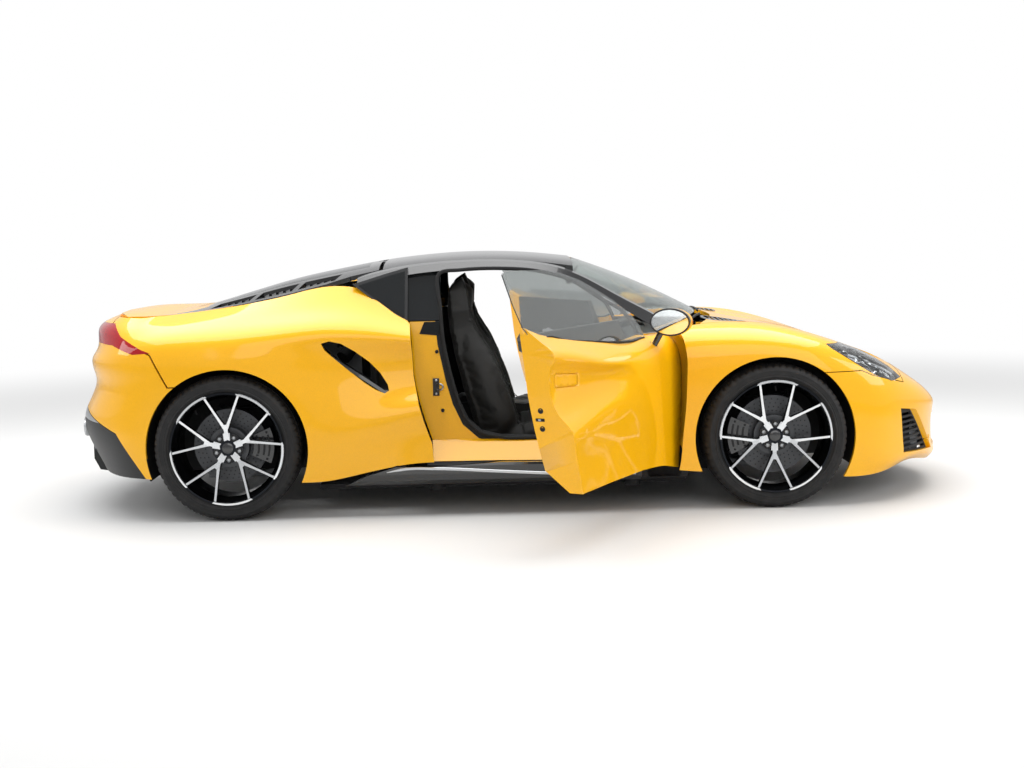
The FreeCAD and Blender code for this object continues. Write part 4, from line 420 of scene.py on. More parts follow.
def moulded_plastic(name, colour, roughness, grain_mm, depth, worn="#2A2B2D"):
    """Injection-moulded polypropylene with a fine etched grain, satin to matt."""
    material, tree, shader, place = new_material(name)
    set_sockets(shader, Roughness=roughness, Specular_IOR_Level=0.45)
    grain = add_node(tree, "ShaderNodeTexVoronoi", {"Scale": pattern_scale(grain_mm)}, {"Vector": place})
    cloud = add_node(tree, "ShaderNodeTexNoise", {"Scale": pattern_scale(60.0), "Detail": 3.0},
                     {"Vector": place})
    share = add_node(tree, "ShaderNodeMapRange", {"To Max": 0.35}, {"Value": cloud.outputs["Fac"]})
    tint = add_node(tree, "ShaderNodeMix", {"A": linear(colour), "B": linear(worn)},
                    {"Factor": share.outputs["Result"]}, {"data_type": "RGBA"})
    tree.links.new(tint.outputs["Result"], shader.inputs["Base Color"])
    bump = add_node(tree, "ShaderNodeBump", {"Strength": depth, "Distance": 0.0006},
                    {"Height": grain.outputs["Distance"]})
    tree.links.new(bump.outputs["Normal"], shader.inputs["Normal"])
    return material


def window_glass(name, tint, clearness):
    """Float glass or clear lens plastic: smooth, slightly tinted, with faint dust."""
    material, tree, shader, place = new_material(name)
    set_sockets(shader, Base_Color=linear(tint), Transmission_Weight=clearness, IOR=1.45)
    dust = add_node(tree, "ShaderNodeTexNoise", {"Scale": pattern_scale(25.0), "Detail": 5.0},
                    {"Vector": place})
    haze = add_node(tree, "ShaderNodeMapRange", {"From Min": 0.45, "From Max": 0.8, "To Max": 0.06},
                    {"Value": dust.outputs["Fac"]})
    tree.links.new(haze.outputs["Result"], shader.inputs["Roughness"])
    return material


def leather(name, colour, grain_mm=2.2, roughness=0.5):
    """Grained and dyed cowhide: fine pebbles with creases between them, soft sheen."""
    material, tree, shader, place = new_material(name)
    set_sockets(shader, Roughness=roughness, Specular_IOR_Level=0.4, Sheen_Weight=0.06)
    pebble = add_node(tree, "ShaderNodeTexVoronoi", {"Scale": pattern_scale(grain_mm), "Smoothness": 0.4},
                      {"Vector": place}, {"feature": "SMOOTH_F1"})
    crease = add_node(tree, "ShaderNodeTexNoise", {"Scale": pattern_scale(35.0), "Detail": 4.0},
                      {"Vector": place})
    share = add_node(tree, "ShaderNodeMapRange", {"To Max": 0.5}, {"Value": crease.outputs["Fac"]})
    tint = add_node(tree, "ShaderNodeMix", {"A": linear(colour), "B": linear("#34322F")},
                    {"Factor": share.outputs["Result"]}, {"data_type": "RGBA"})
    tree.links.new(tint.outputs["Result"], shader.inputs["Base Color"])
    fine = add_node(tree, "ShaderNodeBump", {"Strength": 0.35, "Distance": 0.0008},
                    {"Height": pebble.outputs["Distance"]})
    broad = add_node(tree, "ShaderNodeBump", {"Strength": 0.15, "Distance": 0.004},
                     {"Height": crease.outputs["Fac"], "Normal": fine.outputs["Normal"]})
    tree.links.new(broad.outputs["Normal"], shader.inputs["Normal"])
    return material


def tyre_rubber(name):
    """Vulcanised black rubber: dull and dusty, with a faint moulded texture."""
    material, tree, shader, place = new_material(name)
    set_sockets(shader, Roughness=0.62, Specular_IOR_Level=0.35)
    dust = add_node(tree, "ShaderNodeTexNoise", {"Scale": pattern_scale(40.0), "Detail": 6.0},
                    {"Vector": place})
    share = add_node(tree, "ShaderNodeMapRange", {"From Min": 0.4, "From Max": 0.75, "To Max": 0.5},
                     {"Value": dust.outputs["Fac"]})
    tint = add_node(tree, "ShaderNodeMix", {"A": linear("#151516"), "B": linear("#2B2A29")},
                    {"Factor": share.outputs["Result"]}, {"data_type": "RGBA"})
    tree.links.new(tint.outputs["Result"], shader.inputs["Base Color"])
    bump = add_node(tree, "ShaderNodeBump", {"Strength": 0.2, "Distance": 0.0008},
                    {"Height": dust.outputs["Fac"]})
    tree.links.new(bump.outputs["Normal"], shader.inputs["Normal"])
    return material


def metal(name, colour, roughness, grain_mm, depth=0.15):
    """Cast, turned or forged metal: its own colour with fine tool marks."""
    material, tree, shader, place = new_material(name)
    set_sockets(shader, Metallic=1.0)
    marks = add_node(tree, "ShaderNodeTexNoise", {"Scale": pattern_scale(grain_mm), "Detail": 4.0},
                     {"Vector": place}).outputs["Fac"]
    shade = add_node(tree, "ShaderNodeMapRange", {"To Min": 0.85, "To Max": 1.1}, {"Value": marks})
    tint = add_node(tree, "ShaderNodeHueSaturation", {"Color": linear(colour)},
                    {"Value": shade.outputs["Result"]}, {"name": "Colour"})
    tree.links.new(tint.outputs["Color"], shader.inputs["Base Color"])
    rough = add_node(tree, "ShaderNodeMapRange", {"To Min": roughness * 0.8, "To Max": roughness * 1.2},
                     {"Value": marks})
    tree.links.new(rough.outputs["Result"], shader.inputs["Roughness"])
    bump = add_node(tree, "ShaderNodeBump", {"Strength": depth, "Distance": 0.0005}, {"Height": marks})
    tree.links.new(bump.outputs["Normal"], shader.inputs["Normal"])
    return material


def woven(name, colour, pitch_mm, roughness):
    """Woven or tufted yarn: two crossing rows of ribs with a little colour drift."""
    material, tree, shader, place = new_material(name)
    set_sockets(shader, Roughness=roughness, Specular_IOR_Level=0.2, Sheen_Weight=0.1)
    # A wave texture draws 20 ribs to a unit of its scale
    ribs = [add_node(tree, "ShaderNodeTexWave", {"Scale": pattern_scale(pitch_mm) / 20, "Distortion": 1.5},
                     {"Vector": place}, {"bands_direction": axis}).outputs["Fac"] for axis in ("X", "Z")]
    cross = add_node(tree, "ShaderNodeMath", {}, {0: ribs[0], 1: ribs[1]}, {"operation": "MAXIMUM"})
    drift = add_node(tree, "ShaderNodeTexNoise", {"Scale": pattern_scale(30.0), "Detail": 4.0},
                     {"Vector": place})
    share = add_node(tree, "ShaderNodeMapRange", {"To Max": 0.5}, {"Value": drift.outputs["Fac"]})
    tint = add_node(tree, "ShaderNodeMix", {"A": linear(colour), "B": linear("#303032")},
                    {"Factor": share.outputs["Result"]}, {"data_type": "RGBA"})
    tree.links.new(tint.outputs["Result"], shader.inputs["Base Color"])
    bump = add_node(tree, "ShaderNodeBump", {"Strength": 0.5, "Distance": 0.001},
                    {"Height": cross.outputs["Value"]})
    tree.links.new(bump.outputs["Normal"], shader.inputs["Normal"])
    return material


FINISHES = {
    "paint": car_paint("metallic_yellow_paint", "#F4B200", 0.05, 0.8),
    "gloss": gloss_black("piano_black_lacquer"),
    "satin": moulded_plastic("grained_polypropylene", "#151617", 0.48, 1.6, 0.12),
    "matt": moulded_plastic("rough_polypropylene", "#1B1B1C", 0.75, 2.5, 0.3),
    "rubber_seal": moulded_plastic("flocked_epdm_seal", "#0D0D0E", 0.8, 1.2, 0.2),
    "window": window_glass("toughened_side_glass", "#D9DEDD", 0.97),
    "screen": window_glass("laminated_windscreen", "#C9D2CF", 0.95),
    "privacy": window_glass("tinted_rear_glass", "#4A5052", 0.9),
    "leather": leather("dyed_black_hide", "#191918"),
    "suede": leather("microfibre_suede", "#222224", 1.2, 0.9),
    "tyre": tyre_rubber("vulcanised_rubber"),
    "anthracite": metal("gloss_anthracite_alloy", "#26282C", 0.22, 8.0, 0.03),
    "diamond_cut": metal("diamond_turned_alloy", "#E4E6E8", 0.2, 3.0, 0.06),
    "iron": metal("turned_cast_iron", "#505153", 0.42, 4.0, 0.2),
    "alloy": metal("sand_cast_aluminium", "#85878A", 0.5, 5.0, 0.3),
    "steel": metal("zinc_plated_steel", "#A9ABAD", 0.3, 3.0, 0.08),
    "smoked": window_glass("smoked_quarter_glass", "#1A1D1F", 0.2),
    "lens": window_glass("clear_polycarbonate_lens", "#F2F4F5", 1.0),
    "red_lens": window_glass("red_acrylic_lens", "#A80616", 0.12),
    "amber_lens": window_glass("amber_acrylic_lens", "#E8A040", 0.8),
    "light_guide": moulded_plastic("frosted_acrylic_guide", "#E9ECEF", 0.25, 3.0, 0.05, "#D4D8DC"),
    "red_guide": moulded_plastic("frosted_red_guide", "#F03038", 0.25, 3.0, 0.05, "#C0141C"),
    "webbing": woven("woven_polyester_belt", "#17171A", 3.0, 0.6),
    "carpet": woven("tufted_nylon_carpet", "#131314", 5.0, 0.95),
    "stitch": woven("waxed_thread", "#4C4D50", 2.0, 0.7),
    "display": gloss_black("blank_display_glass", "#07090C"),
    "caliper": gloss_black("lacquered_caliper", "#141518"),
    "mirror": metal("silvered_mirror_glass", "#F2F4F5", 0.03, 40.0, 0.0),
    "chrome": metal("vacuum_chromed_plastic", "#ECEEF0", 0.09, 20.0, 0.02),
    "satin_silver": metal("satin_anodised_strip", "#C6C8CA", 0.3, 2.5, 0.1),
}


# Making and placing meshes

def give(obj, finish, body):
    """Sets an object's finish and the body it rides on."""
    obj.data.materials.clear()
    obj.data.materials.append(FINISHES[finish])
    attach(obj, body)
    return obj


def object_from(name, mesh):
    obj = bpy.data.objects.new(name, mesh)
    bpy.context.scene.collection.objects.link(obj)
    return obj


# Points of a skin lie this close to its form, in metres; edges of a cut are sharper than this, in degrees
SKIN_REACH = 0.0011
SHARP_EDGE = 32
DIVIDING_ROUNDS = 7


def smooth_panel(name, node, form, finish, body, level=None):
    """A body panel with its skin divided finely and laid on the smooth form it was cut from."""
    edge = bpy.context.scene.coupe.skin_edge
    bm = bmesh.new()
    bm.from_mesh(NODES[node].data)
    bmesh.ops.remove_doubles(bm, verts=bm.verts, dist=0.00002)
    if level:
        bmesh.ops.bisect_plane(bm, geom=bm.verts[:] + bm.edges[:] + bm.faces[:], plane_co=(0, 0, level * MM),
                               plane_no=(0, 0, 1))
    bmesh.ops.triangulate(bm, faces=bm.faces)
    distances = form.nearest([vert.co for vert in bm.verts])[2]
    on_skin = {vert: bool(close) for vert, close in zip(bm.verts, distances < SKIN_REACH)}
    for _ in range(DIVIDING_ROUNDS):
        long_edges = [e for e in bm.edges if on_skin.get(e.verts[0]) and on_skin.get(e.verts[1])
                      and e.calc_length() > edge]
        if not long_edges:
            break
        made = bmesh.ops.subdivide_edges(bm, edges=long_edges, cuts=1)
        fresh = [g for g in made["geom_inner"] if isinstance(g, bmesh.types.BMVert)]
        spots, _, distances = form.nearest([vert.co for vert in fresh])
        for vert, spot, distance in zip(fresh, spots, distances):
            on_skin[vert] = distance < 2 * SKIN_REACH
            if on_skin[vert]:
                vert.co = spot
        bmesh.ops.triangulate(bm, faces=[f for f in bm.faces if len(f.verts) > 3])
    mesh = bpy.data.meshes.new(name)
    bm.to_mesh(mesh)
    bm.free()
    shade_on_form(mesh, form)
    obj = object_from(name, mesh)
    give(obj, finish, body)
    if finish == "paint" and body == "body":
        middles, normals = face_places(mesh)
        finish_where(mesh, "satin", (normals * form.nearest(middles)[1]).sum(1) < -0.3)
    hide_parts(node)
    return obj


def shade_on_form(mesh, form):
    """Takes the skin's shading normals from the smooth form, and keeps the cut edges crisp."""
    smooth_but_sharp(mesh, SHARP_EDGE)
    _, normals, distances = form.nearest(vectors(mesh.vertices, "co"))
    corners = vectors(mesh.corner_normals, "vector")
    owners = np.zeros(len(mesh.loops), int)
    mesh.loops.foreach_get("vertex_index", owners)
    faces = np.repeat(vectors(mesh.polygons, "normal"), 3, axis=0)
    close = (distances[owners] < 2 * SKIN_REACH) & ((faces * normals[owners]).sum(1) > 0.75)
    whole = np.repeat(close.reshape(-1, 3).all(1), 3)
    corners[whole] = normals[owners][whole]
    mesh.normals_split_custom_set(corners.tolist())


PANELS = [
    ("wing_left", "front_wing_left", WRAP_LEFT, "paint", "body"),
    ("wing_right", "front_wing_right", WRAP_RIGHT, "paint", "body"),
    ("quarter_left", "rear_quarter_left", WRAP_LEFT, "paint", "body"),
    ("quarter_right", "rear_quarter_right", WRAP_RIGHT, "paint", "body"),
    ("door_skin_left", "door_left", WRAP_DOOR_LEFT, "paint", "door_left"),
    ("door_skin_right", "door_right", WRAP_DOOR_RIGHT, "paint", "door_right"),
    ("bonnet_skin", "bonnet", BONNET_FORM, "paint", "bonnet"),
    ("tailgate_skin", "tailgate", ROOF_FORM, "paint", "tailgate"),
    ("roof_skin", "roof_panel", ROOF_FORM, "gloss", "body"),
    ("louvre_frame_skin", "tailgate_frame", ROOF_FORM, "gloss", "tailgate"),
    ("rear_window_skin", "tailgate_glass", ROOF_FORM, "privacy", "tailgate"),
    ("nose_skin", "nose_panel", WRAP_BOTH, "paint", "body"),
    ("bumper_skin", "rear_bumper", WRAP_BOTH, "paint", "body"),
    ("diffuser_skin", "diffuser", WRAP_BOTH, "satin", "body"),
]
BAND_FOOT = 452.0


class COUPE_OT_panels(bpy.types.Operator):
    """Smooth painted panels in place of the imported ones"""
    bl_idname = "coupe.panels"
    bl_label = "Painted panels"

    def execute(self, context):
        for name, node, form, finish, body in PANELS:
            smooth_panel(name, node, form, finish, body, BAND_FOOT if node == "diffuser" else None)
        return {"FINISHED"}


def sides(*names):
    """The left and right node of each name."""
    return [name + "_" + side for name in names for side in ("left", "right")]


NODE_FINISHES = {
    "paint": sides("side_frame"),
    "gloss": ["cabin_frame", "side_intakes", "side_skirts", "cowl_panel"] + sides("door_mirror"),
    "rubber_seal": ["door_bands"],
    "screen": ["windscreen"],
    "window": sides("door_glass"),
    "smoked": ["quarter_glass"],
    "lens": ["headlamps"],
    "red_lens": ["tail_lamps"],
    "leather": sides("door_trim") + ["dashboard", "centre_console", "steering_wheel"],
    "matt": ["front_grille", "arch_liners", "front_tray", "boot_tub", "floor_tub", "bulkheads"],
    "alloy": ["chassis_rails", "engine_block", "front_suspension", "rear_suspension",
              *sides("knuckle_front")],
    "tyre": sides("tyre_front", "tyre_rear"),
    "anthracite": sides("rim_front", "rim_rear"),
    "iron": sides("brake_disc_front", "brake_disc_rear"),
}


class COUPE_OT_finishes(bpy.types.Operator):
    """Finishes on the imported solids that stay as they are"""
    bl_idname = "coupe.finishes"
    bl_label = "Finishes on solids"

    def execute(self, context):
        for finish, names in NODE_FINISHES.items():
            for name in names:
                mesh = NODES[name].data
                mesh.materials.clear()
                mesh.materials.append(FINISHES[finish])
                smooth_but_sharp(mesh, 30)
        for side in ("left", "right"):
            mesh = NODES["side_frame_" + side].data
            middles, normals = face_places(mesh)
            finish_where(mesh, "satin", normals[:, 1] * np.sign(middles[:, 1]) < -0.3)
        settings = context.scene.coupe
        for finish, colour in (("paint", settings.paint), ("anthracite", settings.wheels)):
            FINISHES[finish].node_tree.nodes["Colour"].inputs["Color"].default_value = colour
        return {"FINISHED"}


# Building small shapes: each is its points and faces, in metres

def grid_faces(rows, columns, loop_rows=False, loop_columns=False):
    """Faces over a grid of points, closed round either way if asked."""
    faces = []
    for i in range(rows if loop_rows else rows - 1):
        for j in range(columns if loop_columns else columns - 1):
            k, m = (i + 1) % rows, (j + 1) % columns
            faces.append((i * columns + j, k * columns + j, k * columns + m, i * columns + m))
    return faces


def merged(shapes):
    points, faces, count = [], [], 0
    for spots, sides in shapes:
        points.append(np.asarray(spots, float))
        faces += [tuple(index + count for index in side) for side in sides]
        count += len(spots)
    return np.concatenate(points), faces


def at(x, y, z):
    """A step from the origin, in mm."""
    return Matrix.Translation(Vector((x, y, z)) * MM)


def rotation(degrees, axis="Y"):
    return Matrix.Rotation(math.radians(degrees), 4, axis)


def round_axle(radius, degrees, y=0.0):
    """A step out from the axle in a given direction, in mm."""
    turn = math.radians(degrees)
    return at(math.cos(turn) * radius, y, math.sin(turn) * radius)


def oval(x, y, z, wide, tall, count):
    """An upright ring facing along the car, in mm."""
    turns = np.linspace(0, 2 * math.pi, count, endpoint=False)
    return np.stack([np.full(count, x), y + np.cos(turns) * wide, z + np.sin(turns) * tall], 1)


def moved(shape, matrix):
    return carried(shape[0], matrix), shape[1]


def reflected(shape):
    """The same shape on the car's other side."""
    return np.asarray(shape[0], float) * np.array([1, -1, 1]), [tuple(reversed(side)) for side in shape[1]]


def smooth_path(points, spacing=15.0, closed=False):
    """Evenly spaced points, in metres, on a smooth curve through a few given in mm."""
    points = np.array(points, float)
    if closed:
        points = np.concatenate([points[-2:], points, points[:3]])
    knots = np.concatenate([[0.0], np.cumsum(np.linalg.norm(np.diff(points, axis=0), axis=1))])
    count = max(4, int(knots[-1] / spacing))
    curve = along(points, knots, count)
    if closed:
        places = np.linspace(knots[0], knots[-1], count)
        curve = curve[(places >= knots[2]) & (places < knots[-3])]
    return curve * MM


def swept(path, section, up=(0, 0, 1), closed=False, taper=None):
    """A section, in mm as side and rise, carried along a path."""
    path = np.asarray(path, float)
    if closed:
        ahead = np.roll(path, -1, axis=0) - np.roll(path, 1, axis=0)
    else:
        ahead = np.gradient(path, axis=0)
    ahead /= np.linalg.norm(ahead, axis=1, keepdims=True)
    side = np.cross(ahead, np.broadcast_to(np.array(up, float), ahead.shape))
    side /= np.maximum(np.linalg.norm(side, axis=1, keepdims=True), 1e-9)
    rise = np.cross(side, ahead)
    section = np.array(section, float) * MM
    scale = np.ones(len(path)) if taper is None else np.interp(np.linspace(0, 1, len(path)), *taper)
    rings = (path[:, None] + side[:, None] * (section[:, 0] * scale[:, None])[:, :, None]
             + rise[:, None] * (section[:, 1] * scale[:, None])[:, :, None])
    columns = len(section)
    faces = grid_faces(len(path), columns, closed, True)
    if not closed:
        last = (len(path) - 1) * columns
        faces += [tuple(reversed(range(columns))), tuple(last + k for k in range(columns))]
    return rings.reshape(-1, 3), faces


def ring(radius, count=10, squash=1.0):
    """A round section in mm."""
    turns = np.linspace(0, 2 * math.pi, count, endpoint=False)
    return np.stack([np.cos(turns) * radius, np.sin(turns) * radius * squash], 1)


def bar(width, depth, corner):
    """A rounded rectangular section in mm."""
    half, low = width / 2, depth / 2
    return [(-half + corner, -low), (half - corner, -low), (half, -low + corner), (half, low - corner),
            (half - corner, low), (-half + corner, low), (-half, low - corner), (-half, -low + corner)]


def lathed(profile, segments=32):
    """A profile of radius and place along Y, in mm, turned about the Y axis."""
    profile = np.array(profile, float) * MM
    turns = np.linspace(0, 2 * math.pi, segments, endpoint=False)
    radii, places = profile.T
    spots = np.stack([np.outer(np.cos(turns), radii), np.broadcast_to(places, (segments, len(places))),
                      np.outer(np.sin(turns), radii)], 2)
    return spots.reshape(-1, 3), grid_faces(segments, len(profile), True, False)


def slab(outline, low, high, bevel=1.5):
    """An outline in mm, as X and Z, made solid between two places along Y, with its edges broken."""
    outline = np.array(outline, float)
    centre = outline.mean(0)
    reach = np.abs(outline - centre).max()
    inner = centre + (outline - centre) * (1 - bevel / reach)
    layers = [(inner, low), (outline, low + bevel), (outline, high - bevel), (inner, high)]
    spots = np.concatenate([np.stack([flat[:, 0], np.full(len(flat), y), flat[:, 1]], 1)
                            for flat, y in layers])
    count = len(outline)
    faces = grid_faces(4, count, False, True)
    faces += [tuple(range(count)), tuple(reversed(range(3 * count, 4 * count)))]
    return spots * MM, faces


def block(size, place, bevel=2.0, turn=None):
    """A box in mm with broken edges, about its own middle."""
    length, width, height = (side / 2 for side in size)
    shape = slab([(-length, -height), (length, -height), (length, height), (-length, height)],
                 -width, width, min(bevel, length * 0.6, width * 0.6, height * 0.6))
    return moved(shape, at(*place) @ turn if turn else at(*place))


def smooth_but_sharp(mesh, degrees):
    """Smooth shading but for edges sharper than an angle."""
    mesh.polygons.foreach_set("use_smooth", np.ones(len(mesh.polygons), bool))
    mesh.set_sharp_from_angle(angle=math.radians(degrees))


def pieces_of(name, shape, finish, body, sharp=35):
    """An object from a shape, smooth but for its sharp edges."""
    mesh = bpy.data.meshes.new(name)
    mesh.from_pydata(np.asarray(shape[0]).tolist(), [], shape[1])
    bm = bmesh.new()
    bm.from_mesh(mesh)
    bmesh.ops.recalc_face_normals(bm, faces=bm.faces)
    bm.to_mesh(mesh)
    bm.free()
    smooth_but_sharp(mesh, sharp)
    return give(object_from(name, mesh), finish, body)


def on_both_sides(name, shape, finish, body="body", sharp=35):
    """A piece on the left and its mirror image on the right; a door's piece is turned open with it."""
    if body == "door":
        shape = moved(shape, DOOR_OPEN)
    for side, own in (("left", shape), ("right", reflected(shape))):
        pieces_of(name + "_" + side, own, finish, body + "_" + side if body == "door" else body, sharp)


def finish_where(mesh, finish, chosen):
    """Gives the chosen faces of a mesh another finish."""
    mesh.materials.append(FINISHES[finish])
    marks = np.zeros(len(mesh.polygons), int)
    mesh.polygons.foreach_get("material_index", marks)
    marks[chosen] = len(mesh.materials) - 1
    mesh.polygons.foreach_set("material_index", marks)


def vectors(items, field):
    """A vector field of a mesh's vertices, faces or corners, as rows."""
    values = np.zeros(len(items) * 3)
    items.foreach_get(field, values)
    return values.reshape(-1, 3)


def face_places(mesh):
    """Middle and normal of each face."""
    return vectors(mesh.polygons, "center"), vectors(mesh.polygons, "normal")


def laid_on(form, places, lift):
    """Points moved to a form's surface and lifted off it by a step in mm."""
    spots, normals, _ = form.nearest(np.asarray(places, float) * MM)
    return spots + normals * lift * MM


# Wheels: tread, machined faces, nuts and brakes

RIM_RADIUS = 271.0
FORKS = 5
WHEELS = [
    ("front", 1222.4, 805.0, 340.0, 245.0, 52.7, 185.0),
    ("rear", -1352.6, 792.0, 342.0, 295.0, 93.7, 175.0),
]
HUB_RECESS = 74.0
HUB_FACE = 44.0
NUT_CIRCLE = 57.0
NUT_RISE = 7.0
PITCHES = 64
GROOVE_WIDTH = 9.0
GROOVE_DEPTH = 7.0
GROOVE_PLACE_SHARES = (-0.30, -0.11, 0.11, 0.30)


def tyre_section(radius, width):
    """Section of the tyre from bead to bead over the tread: radius and place along the axle."""
    half = width / 2
    side = [(RIM_RADIUS - 12, half - 40), (RIM_RADIUS - 6, half - 14), (RIM_RADIUS + 5, half - 8),
            (RIM_RADIUS + 9, half - 1), (RIM_RADIUS + 14, half), (RIM_RADIUS + 18, half - 2.5),
            (RIM_RADIUS + 24, half - 1.2), (RIM_RADIUS + 25, half - 2.2), (radius - 30, half - 2.0),
            (radius - 29, half - 1.2), (radius - 24, half - 3.4), (radius - 14, half - 10),
            (radius - 8, half - 17), (radius - 4, half - 25), (radius - 1, half - 39), (radius, half - 52)]
    tread = []
    for share in GROOVE_PLACE_SHARES[::-1]:
        middle = share * width
        for place, drop in ((GROOVE_WIDTH / 2 + 0.5, 0), (GROOVE_WIDTH / 2 - 1, GROOVE_DEPTH),
                            (1 - GROOVE_WIDTH / 2, GROOVE_DEPTH), (-GROOVE_WIDTH / 2 - 0.5, 0)):
            tread.append((radius - drop, middle + place))
    return np.array(side + tread + [(r, -y) for r, y in side[::-1]])


def tyre_shape(radius, width):
    """Tyre with its tread blocks, about its own centre."""
    section = tyre_section(radius, width)
    steps = 4 * PITCHES
    turns = np.linspace(0, 2 * math.pi, steps, endpoint=False)
    slot = (np.arange(steps) % 4) == 0
    shoulder = (np.abs(section[:, 1]) > 0.32 * width) & (section[:, 0] > radius - 16)
    shoulder &= np.abs(section[:, 1]) < width / 2 - 8
    inner_rib = (np.abs(section[:, 1]) < 0.28 * width) & (section[:, 0] > radius - 1)
    drops = np.where(slot[:, None] & shoulder[None, :], 5.0, 0.0)
    late = (np.arange(steps) % 8) == 2
    drops += np.where(late[:, None] & inner_rib[None, :], 2.5, 0.0)
    lean = turns[:, None] + np.abs(section[None, :, 1]) / width * 0.10
    radii = (section[None, :, 0] - drops) * MM
    spots = np.stack([np.cos(lean) * radii, np.broadcast_to(section[:, 1] * MM, radii.shape),
                      np.sin(lean) * radii], 2)
    return spots.reshape(-1, 3), grid_faces(steps, len(section), True, True)


def nut_shape():
    """Wheel nut: hexagon with a dished end, its face at zero along Y."""
    return lathed([(0.1, -6.0), (7.0, -5.0), (8.4, -1.2), (9.4, 0.0), (11.0, -2.0), (11.0, -16.0),
                   (14.0, -19.0), (14.0, -30.0)], 6)


def hub_trim(half):
    """Boss with its blank cap, ahead of the hub disc."""
    face = half - 40
    return lathed([(0.1, face + 1.5), (12, face + 1.2), (23, face), (26, face - 2), (26, face - 5),
                   (30, face - 5), (34, face - 8), (36, face - 14), (37, half - HUB_RECESS + 1)], 40)


def painted_hole_shade(disc_radius):
    """Rows of flat dark spots on the disc's outer face, painted shade standing in for drilled holes."""
    hole = lathed([(0.1, 10.35), (3.0, 10.35), (3.4, 10.1)], 8)
    return merged([moved(hole, round_axle(share * disc_radius, 10 * k + 7 * row))
                   for row, share in enumerate((0.60, 0.70, 0.80, 0.90)) for k in range(36)])


def valve_stem(half, angle):
    """Tyre valve on the rim's barrel."""
    turn = math.radians(angle)
    foot = np.array([math.cos(turn) * 232, half - 62, math.sin(turn) * 232])
    head = np.array([math.cos(turn) * 214, half - 40, math.sin(turn) * 214])
    path = np.linspace(foot, head, 6) * MM
    return swept(path, ring(3.6, 8), up=(0.3, 0, 1), taper=((0, 0.6, 0.65, 1), (1.2, 1, 0.8, 0.8)))


def caliper_trim(disc_radius, angle):
    """Ribbed outer face of the brake caliper, with its pins, about the wheel's centre."""
    pin = lathed([(0.1, 3.0), (4.0, 3.0), (5.5, 1.6), (5.5, -2.0)], 12)
    shapes = [moved(pin, round_axle(radius, angle + step, 43.5))
              for step in (-20, 20) for radius in (disc_radius - 40, disc_radius + 10)]
    turns = np.radians(np.linspace(angle - 16, angle + 16, 12))
    for radius in (disc_radius - 38, disc_radius - 12, disc_radius + 12):
        path = np.stack([np.cos(turns) * radius, np.full(12, 43.0), np.sin(turns) * radius], 1) * MM
        shapes.append(swept(path, bar(9, 4, 1.4), up=(0, 1, 0)))
    return merged(shapes)


def about_axle(mesh, centre):
    """Places of the faces from a wheel's centre in mm, their reach and direction, and their normals."""
    middles, normals = face_places(mesh)
    place = (middles - np.array(centre)) / MM
    return place, np.hypot(place[:, 0], place[:, 2]), np.arctan2(place[:, 2], place[:, 0]), normals


def machined_faces(mesh, centre, side, half, phase):
    """The outward faces of spokes and arcs, which are turned bright."""
    place, reach, turn, normals = about_axle(mesh, centre)
    recess = half - place[:, 1] * side
    outward = normals[:, 1] * side
    spread = 2 * math.pi / FORKS
    apart = np.abs((turn - math.radians(phase) + spread / 2) % spread - spread / 2)
    between = (reach < 78.0) & (reach * np.sin(apart) > 17.0)
    between |= (reach > 254.0) & (apart < math.radians(15.5))
    return (outward > 0.95) & (reach < 268.0) & (reach > 36.0) & (recess < 47.0) & ~between


class COUPE_OT_wheels(bpy.types.Operator):
    """Tyres with tread, bright spoke faces, nuts, caps, brakes"""
    bl_idname = "coupe.wheels"
    bl_label = "Wheels and brakes"

    def execute(self, context):
        for row in WHEELS:
            for side, sign in (("left", 1), ("right", -1)):
                self.dress_wheel(side, sign, *row)
        return {"FINISHED"}

    def dress_wheel(self, side, sign, axle, x, y, radius, width, phase, disc):
        half = width / 2
        suffix = "_" + axle + "_" + side
        body = "wheel" + suffix
        centre = (x * MM, sign * y * MM, radius * MM)
        flip = Matrix.Translation(centre) @ Matrix.Scale(sign, 4, (0, 1, 0))
        tyre = pieces_of("tyre_tread" + suffix, moved(tyre_shape(radius, width), flip), "tyre", body,
                         30)
        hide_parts("tyre" + suffix)
        rim = NODES["rim" + suffix].data
        finish_where(rim, "diamond_cut", machined_faces(rim, centre, sign, half, phase))
        spots = [round_axle(NUT_CIRCLE, phase + 36 + 72 * k, half - HUB_FACE + NUT_RISE)
                 for k in range(FORKS)]
        nuts = merged([moved(nut_shape(), spot) for spot in spots])
        # Flat dark discs round the nuts: painted shade of the recesses they sit in
        pocket = lathed([(18, -6.4), (17, -5.9), (0.1, -5.9)], 24)
        recess_shades = merged([moved(pocket, spot) for spot in spots])
        carrier = "knuckle_" + side if axle == "front" else "body"
        angle = 180.0 if axle == "front" else 0.0
        for name, shape, finish, owner, slot in (
                ("wheel_nuts", nuts, "steel", body, "aluminium"),
                ("hub_cap", hub_trim(half), "gloss", body, "black_gloss"),
                # Dark discs round the nuts: painted shade of their recesses
                ("nut_recess_shade", recess_shades, "matt", body, "black_plastic"),
                ("valve", valve_stem(half, phase + 36), "matt", body, "black_plastic"),
                # Dark spots on the brake disc: painted shade of drilled holes
                ("disc_hole_shade", painted_hole_shade(disc), "matt", body, "black_plastic"),
                ("caliper_trim", caliper_trim(disc, angle), "satin", carrier, "black_gloss")):
            pieces_of(name + suffix, moved(shape, flip), finish, owner)
        holder = "knuckle_front_" + side if axle == "front" else "rear_suspension"
        self.paint_caliper(holder, centre, disc, angle)

    def paint_caliper(self, node, centre, disc, angle):
        """Black caliper on its bright carrier."""
        mesh = NODES[node].data
        place, reach, turn, _ = about_axle(mesh, centre)
        apart = np.abs((np.degrees(turn) - angle + 180) % 360 - 180)
        near = np.abs(place[:, 1]) < 60
        finish_where(mesh, "caliper", near & (reach > disc - 66) & (reach < disc + 38) & (apart < 26))


# Seats: padded bucket, sewn channels, piping, runners and belts

